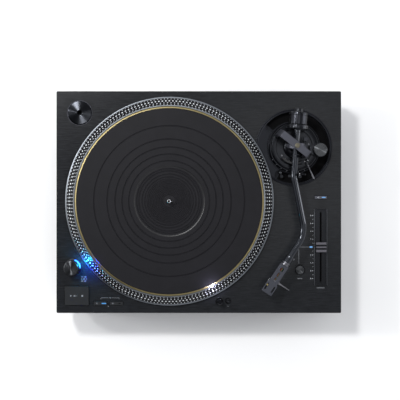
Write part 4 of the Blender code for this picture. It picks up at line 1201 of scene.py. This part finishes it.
def make_headshell():
    right = SHELL_BACK.cross(UP).normalized()
    place = basis(STYLUS, UP, right)
    nut = [(5.3, 52.4), (6.3, 52.4), (6.6, 52.7), (6.6, 54.4), (6.2, 54.7), (6.2, 62.6), (6.6, 63.0),
           (6.6, 65.4), (6.2, 66), (5.3, 66)]
    along = basis(STYLUS, SHELL_BACK, UP)
    fit(lathe("lock_nut", nut, along), "tube", "headshell_nut", "headshell_nut")
    rim = [(6.55, 52.5), (6.7, 52.7), (6.7, 54.2), (6.55, 54.4), (6.3, 54.4), (6.3, 52.5)]
    fit(lathe("lock_nut_rim", rim, along), "dull_steel", "headshell_nut")
    stop = lathe("lock_nut_stud", [(0, 6.0), (1.5, 6.0), (1.5, 7.6), (1.2, 8.0), (0, 8.0)],
                 basis(STYLUS + SHELL_BACK * 64.2, right), 32)
    fit(stop, "dull_steel", "headshell_nut")

    front, step, back, wide, narrow = -2.5, 17.0, 50.0, 8.8, 7.0
    outline = [(-wide + 0.8, front), (wide - 0.8, front), (wide, front + 0.8), (wide, step - 2.4),
               (narrow, step), (narrow, back - 1), (narrow - 1, back), (-narrow + 1, back),
               (-narrow, back - 1), (-narrow, step), (-wide, step - 2.4), (-wide, front + 0.8)]
    slots = [rounded(2.9, 11.2, 1.4, (side * 6.0, 7)) for side in (-1, 1)]
    wires = [arc(3.2, 0, 352, 44, (0, 41))] + [rounded(3.3, 7, 1.6, (0, y)) for y in (22.5, 31.4)]
    shell = plate("shell_plate", [outline, *slots, *wires], -0.9, 1.8, 0.35, place)
    fit(shell, "shell", "tonearm", "headshell")
    skirts = [(x, x + 0.6, step + 1, back - 1.5, -3.0, -0.6) for x in (-narrow, narrow - 0.6)]
    fit(blocks("shell_skirts", skirts, place, 0.2), "shell", "tonearm")
    # a near-black sheet between the skirts: painted shade under the headshell, seen through its slots and
    # holes
    floor = blocks("shell_floor", [(-6.2, 6.2, step + 1, back - 2, -2.9, -2.5)], place)
    fit(floor, "dark", "tonearm")
    collar = [(0, 49.2), (6.1, 49.2), (6.3, 49.5), (6.3, 51.7), (6.0, 52.1), (4.7, 52.1), (4.7, 57),
              (0, 57)]
    fit(lathe("shell_collar", collar, along, 64), "dull_steel", "tonearm")
    ring = [(3.2, -0.9), (3.2, 1.8), (3.5, 1.95), (3.9, 1.8), (3.9, -0.9)]
    fit(lathe("shell_hole_rim", ring, place @ Matrix.Translation(Vector((0, 41, 0)) * MM), 48), "shell",
        "tonearm")

    leads = [("red", -0.8, 0.2), ("green", 0.8, -0.3), ("amber", 0.1, 0.5), ("amber", -0.1, -0.7)]
    for i, (look, x, lift) in enumerate(leads):
        path = [(x * 2.2, 46, -1.6), (x * 1.6, 41, -0.5 + lift * 0.4), (x, 36, -1.3),
                (x * 1.1, 31, -0.4 + lift * 0.3), (x * 1.3, 27, -1.2), (x * 1.2, 22.5, -0.5 + lift * 0.3),
                (x * 1.2, 18.6, -1.9)]
        fit(tube(f"lead_{i}", smooth(path), 0.5, place, 12), look, "tonearm")
    at = place @ (Vector((-6.0, 9.4, 1.8)) * MM)
    screw("shell_screw_left", at / MM, 1.45, "tonearm", "brass")

    lift = [(-3.2, -1.3), (8.6, -1.3), (9.6, -0.6), (13, 0.2), (19, 0.5), (26.6, 0.4), (27.2, 0.9),
            (26.6, 1.4), (19, 1.7), (13, 1.4), (9, 0.7), (8.2, -0.1), (-3.2, -0.2)]
    shift = Matrix.Translation(Vector((0, 20.5, 0)) * MM)
    upright = place @ shift @ Matrix.Rotation(math.radians(90), 4, "X")
    finger = prism("finger_bar", lift, -1.2, 1.2, upright)
    for vertex in finger.data.vertices:
        vertex.co.z *= 1 - 0.55 * max(0.0, (vertex.co.x / MM - 9) / 18)  # narrower towards the tip
    soften(finger, 0.25, 2)
    fit(finger, "dull_steel", "tonearm", "finger_lift")

    side_view = place @ basis((0, 0, 0), (1, 0, 0), (0, 1, 0))
    body = [(-3.3, -4.6), (20.8, -4.6), (20.8, -12.6), (19.6, -13.6), (14, -15.9), (0, -15.9), (-2, -15),
            (-3.4, -11.8)]
    fit(prism("cartridge_body", body, -8.2, 8.2, side_view, 0.6), "cartridge", "tonearm", "cartridge")
    mount = [(-3.4, -3.0), (20.9, -3.0), (20.9, -1.0), (-3.4, -1.0)]
    fit(prism("cartridge_mount", mount, -7.6, 7.6, side_view, 0.3), "plastic", "tonearm")
    grip = [(2.6, -16.2), (14.2, -16.2), (12.4, -18.3), (4.0, -18.1)]
    fit(prism("stylus_grip", grip, -3.4, 3.4, side_view, 0.3), "plastic", "tonearm", "stylus")
    needle = tube("cantilever", [(0, 6, -17.2), (0, 0.6, -19.0), (0, 0.1, -19.2)], [0.42, 0.3, 0.2], place,
                  12)
    fit(needle, "steel", "tonearm")


def smooth(points):
    """Rounds a coarse path by cutting its corners three times."""
    for _ in range(3):
        finer = [points[0]]
        for a, b in zip(points, points[1:]):
            finer.append(tuple(a[i] * 0.75 + b[i] * 0.25 for i in range(3)))
            finer.append(tuple(a[i] * 0.25 + b[i] * 0.75 for i in range(3)))
        points = [*finer, points[-1]]
    return points


# ---------------------------------------------------------------- stage
def add_light(name, kind, at, target, energy, color=(1, 1, 1), **settings):
    data = bpy.data.lights.new(name, kind)
    data.energy = energy
    data.color = color
    for key, value in settings.items():
        setattr(data, key, value)
    obj = placed(name, data)
    obj.location = Vector(at) * MM
    obj.rotation_euler = (Vector(target) - Vector(at)).to_track_quat("-Z", "Y").to_euler()
    return obj


def make_stage(lamp_beam):
    scene = bpy.context.scene
    floor = prism("floor", [(-6000, -6000), (6000, -6000), (6000, 6000), (-6000, 6000)], -1, 0)
    look = Look("pale_floor", (0.9, 0.9, 0.9), 0.8)
    look.vary_color(look.noise(3, 2), 0.99, 1.01)
    floor.data.materials.append(look.material)

    world = bpy.data.worlds.new("studio")
    scene.world = world
    world.use_nodes = True
    tree = world.node_tree
    background = tree.nodes["Background"]
    direction = add_node(tree, "ShaderNodeTexCoord").outputs["Generated"]
    split = add_node(tree, "ShaderNodeSeparateXYZ", {0: direction})
    ramp = add_node(tree, "ShaderNodeValToRGB", {"Fac": split.outputs["Z"]})
    stops = [(0.0, (0.85, 0.87, 0.92)), (0.5, (1.1, 1.12, 1.15)), (0.8, (0.75, 0.76, 0.8)),
             (0.94, (0.22, 0.225, 0.24)), (1.0, (0.15, 0.155, 0.165))]
    while len(ramp.color_ramp.elements) < len(stops):
        ramp.color_ramp.elements.new(0.5)
    for element, (height, color) in zip(ramp.color_ramp.elements, stops):
        element.position = height
        element.color = (*color, 1)
    tree.links.new(ramp.outputs["Color"], background.inputs["Color"])

    # the room is dark towards the front left corner
    flat = add_node(tree, "ShaderNodeVectorMath", {0: direction, 1: (1, 1, 0)}, operation="MULTIPLY")
    level = add_node(tree, "ShaderNodeVectorMath", {0: flat.outputs[0]}, operation="NORMALIZE")
    toward_corner = add_node(tree, "ShaderNodeVectorMath", {0: level.outputs[0], 1: (-0.743, -0.669, 0)},
                             operation="DOT_PRODUCT")
    fade = add_node(tree, "ShaderNodeMapRange", {"Value": toward_corner.outputs["Value"], "From Min": 0.8,
                                                 "From Max": 0.95, "To Min": 1.0, "To Max": 0.03},
                    interpolation_type="SMOOTHSTEP")
    tree.links.new(fade.outputs[0], background.inputs["Strength"])

    add_light("key", "AREA", (-620, 740, 2020), (0, 0, 100), 21, size=0.22)
    add_light("top_right", "AREA", (300, 120, 1700), (120, 40, 100), 2.3, size=0.6)
    add_light("glint", "AREA", (-1300, 480, 1500), (0, 0, 110), 7.0, size=0.12)
    add_light("left_strip", "AREA", (-1500, 100, 600), (150, 80, 140), 7, shape="RECTANGLE", size=0.2,
              size_y=1.2)
    add_light("right_strip", "AREA", (1500, 200, 420), (150, 80, 140), 4, shape="RECTANGLE", size=0.2,
              size_y=1.2)

    tower = middle("power_knob")
    toward = at_height(SPINDLE - tower, 0).normalized()
    aside = toward.cross(UP)
    core = at_height(SPINDLE - toward * 164 + aside * 5, 120)
    above = core + aside * 9 + UP * 12
    add_light("strobe_light", "SPOT", above, above + toward * 2 - UP * 12, 0.26, (0.0, 0.03, 1.0),
              shadow_soft_size=0.003, spot_size=math.radians(128), spot_blend=1.0)
    add_light("strobe_core", "POINT", core, at_height(SPINDLE, 0), 0.085, (0.02, 0.6, 1.0),
              shadow_soft_size=0.003)
    lit = add_light("stylus_light", "SPOT", *lamp_beam, 0.09, (0.75, 0.72, 1.0),
                    shadow_soft_size=0.0015, spot_size=math.radians(150), spot_blend=1.0)
    lit.parent = frame["bodies"]["target_lamp"]

    camera = placed("camera", bpy.data.cameras.new("camera"))
    scene.camera = camera
    distance, view_width = 1500.0, 636.5
    camera.location = Vector((1.9, 3.35, DECK + distance)) * MM
    camera.data.sensor_width = 36
    camera.data.lens = 36 * distance / view_width
    scene.view_settings.view_transform = "Standard"


def main():
    for make in (make_deck, make_plinth_body, make_rear, make_inside, make_platter, make_adapter,
                 make_power_tower, make_buttons):
        make()
    lamp_beam = make_lamp()
    for make in (make_pitch_control, make_pitch_scale, make_markings, make_flange, make_height_ring,
                 make_pedestal, make_bridge, make_antiskate, make_lock_lever, make_cueing, make_arm_rest,
                 make_tube, make_gimbal, make_counterweight, make_headshell):
        make()
    make_stage(lamp_beam)


main()
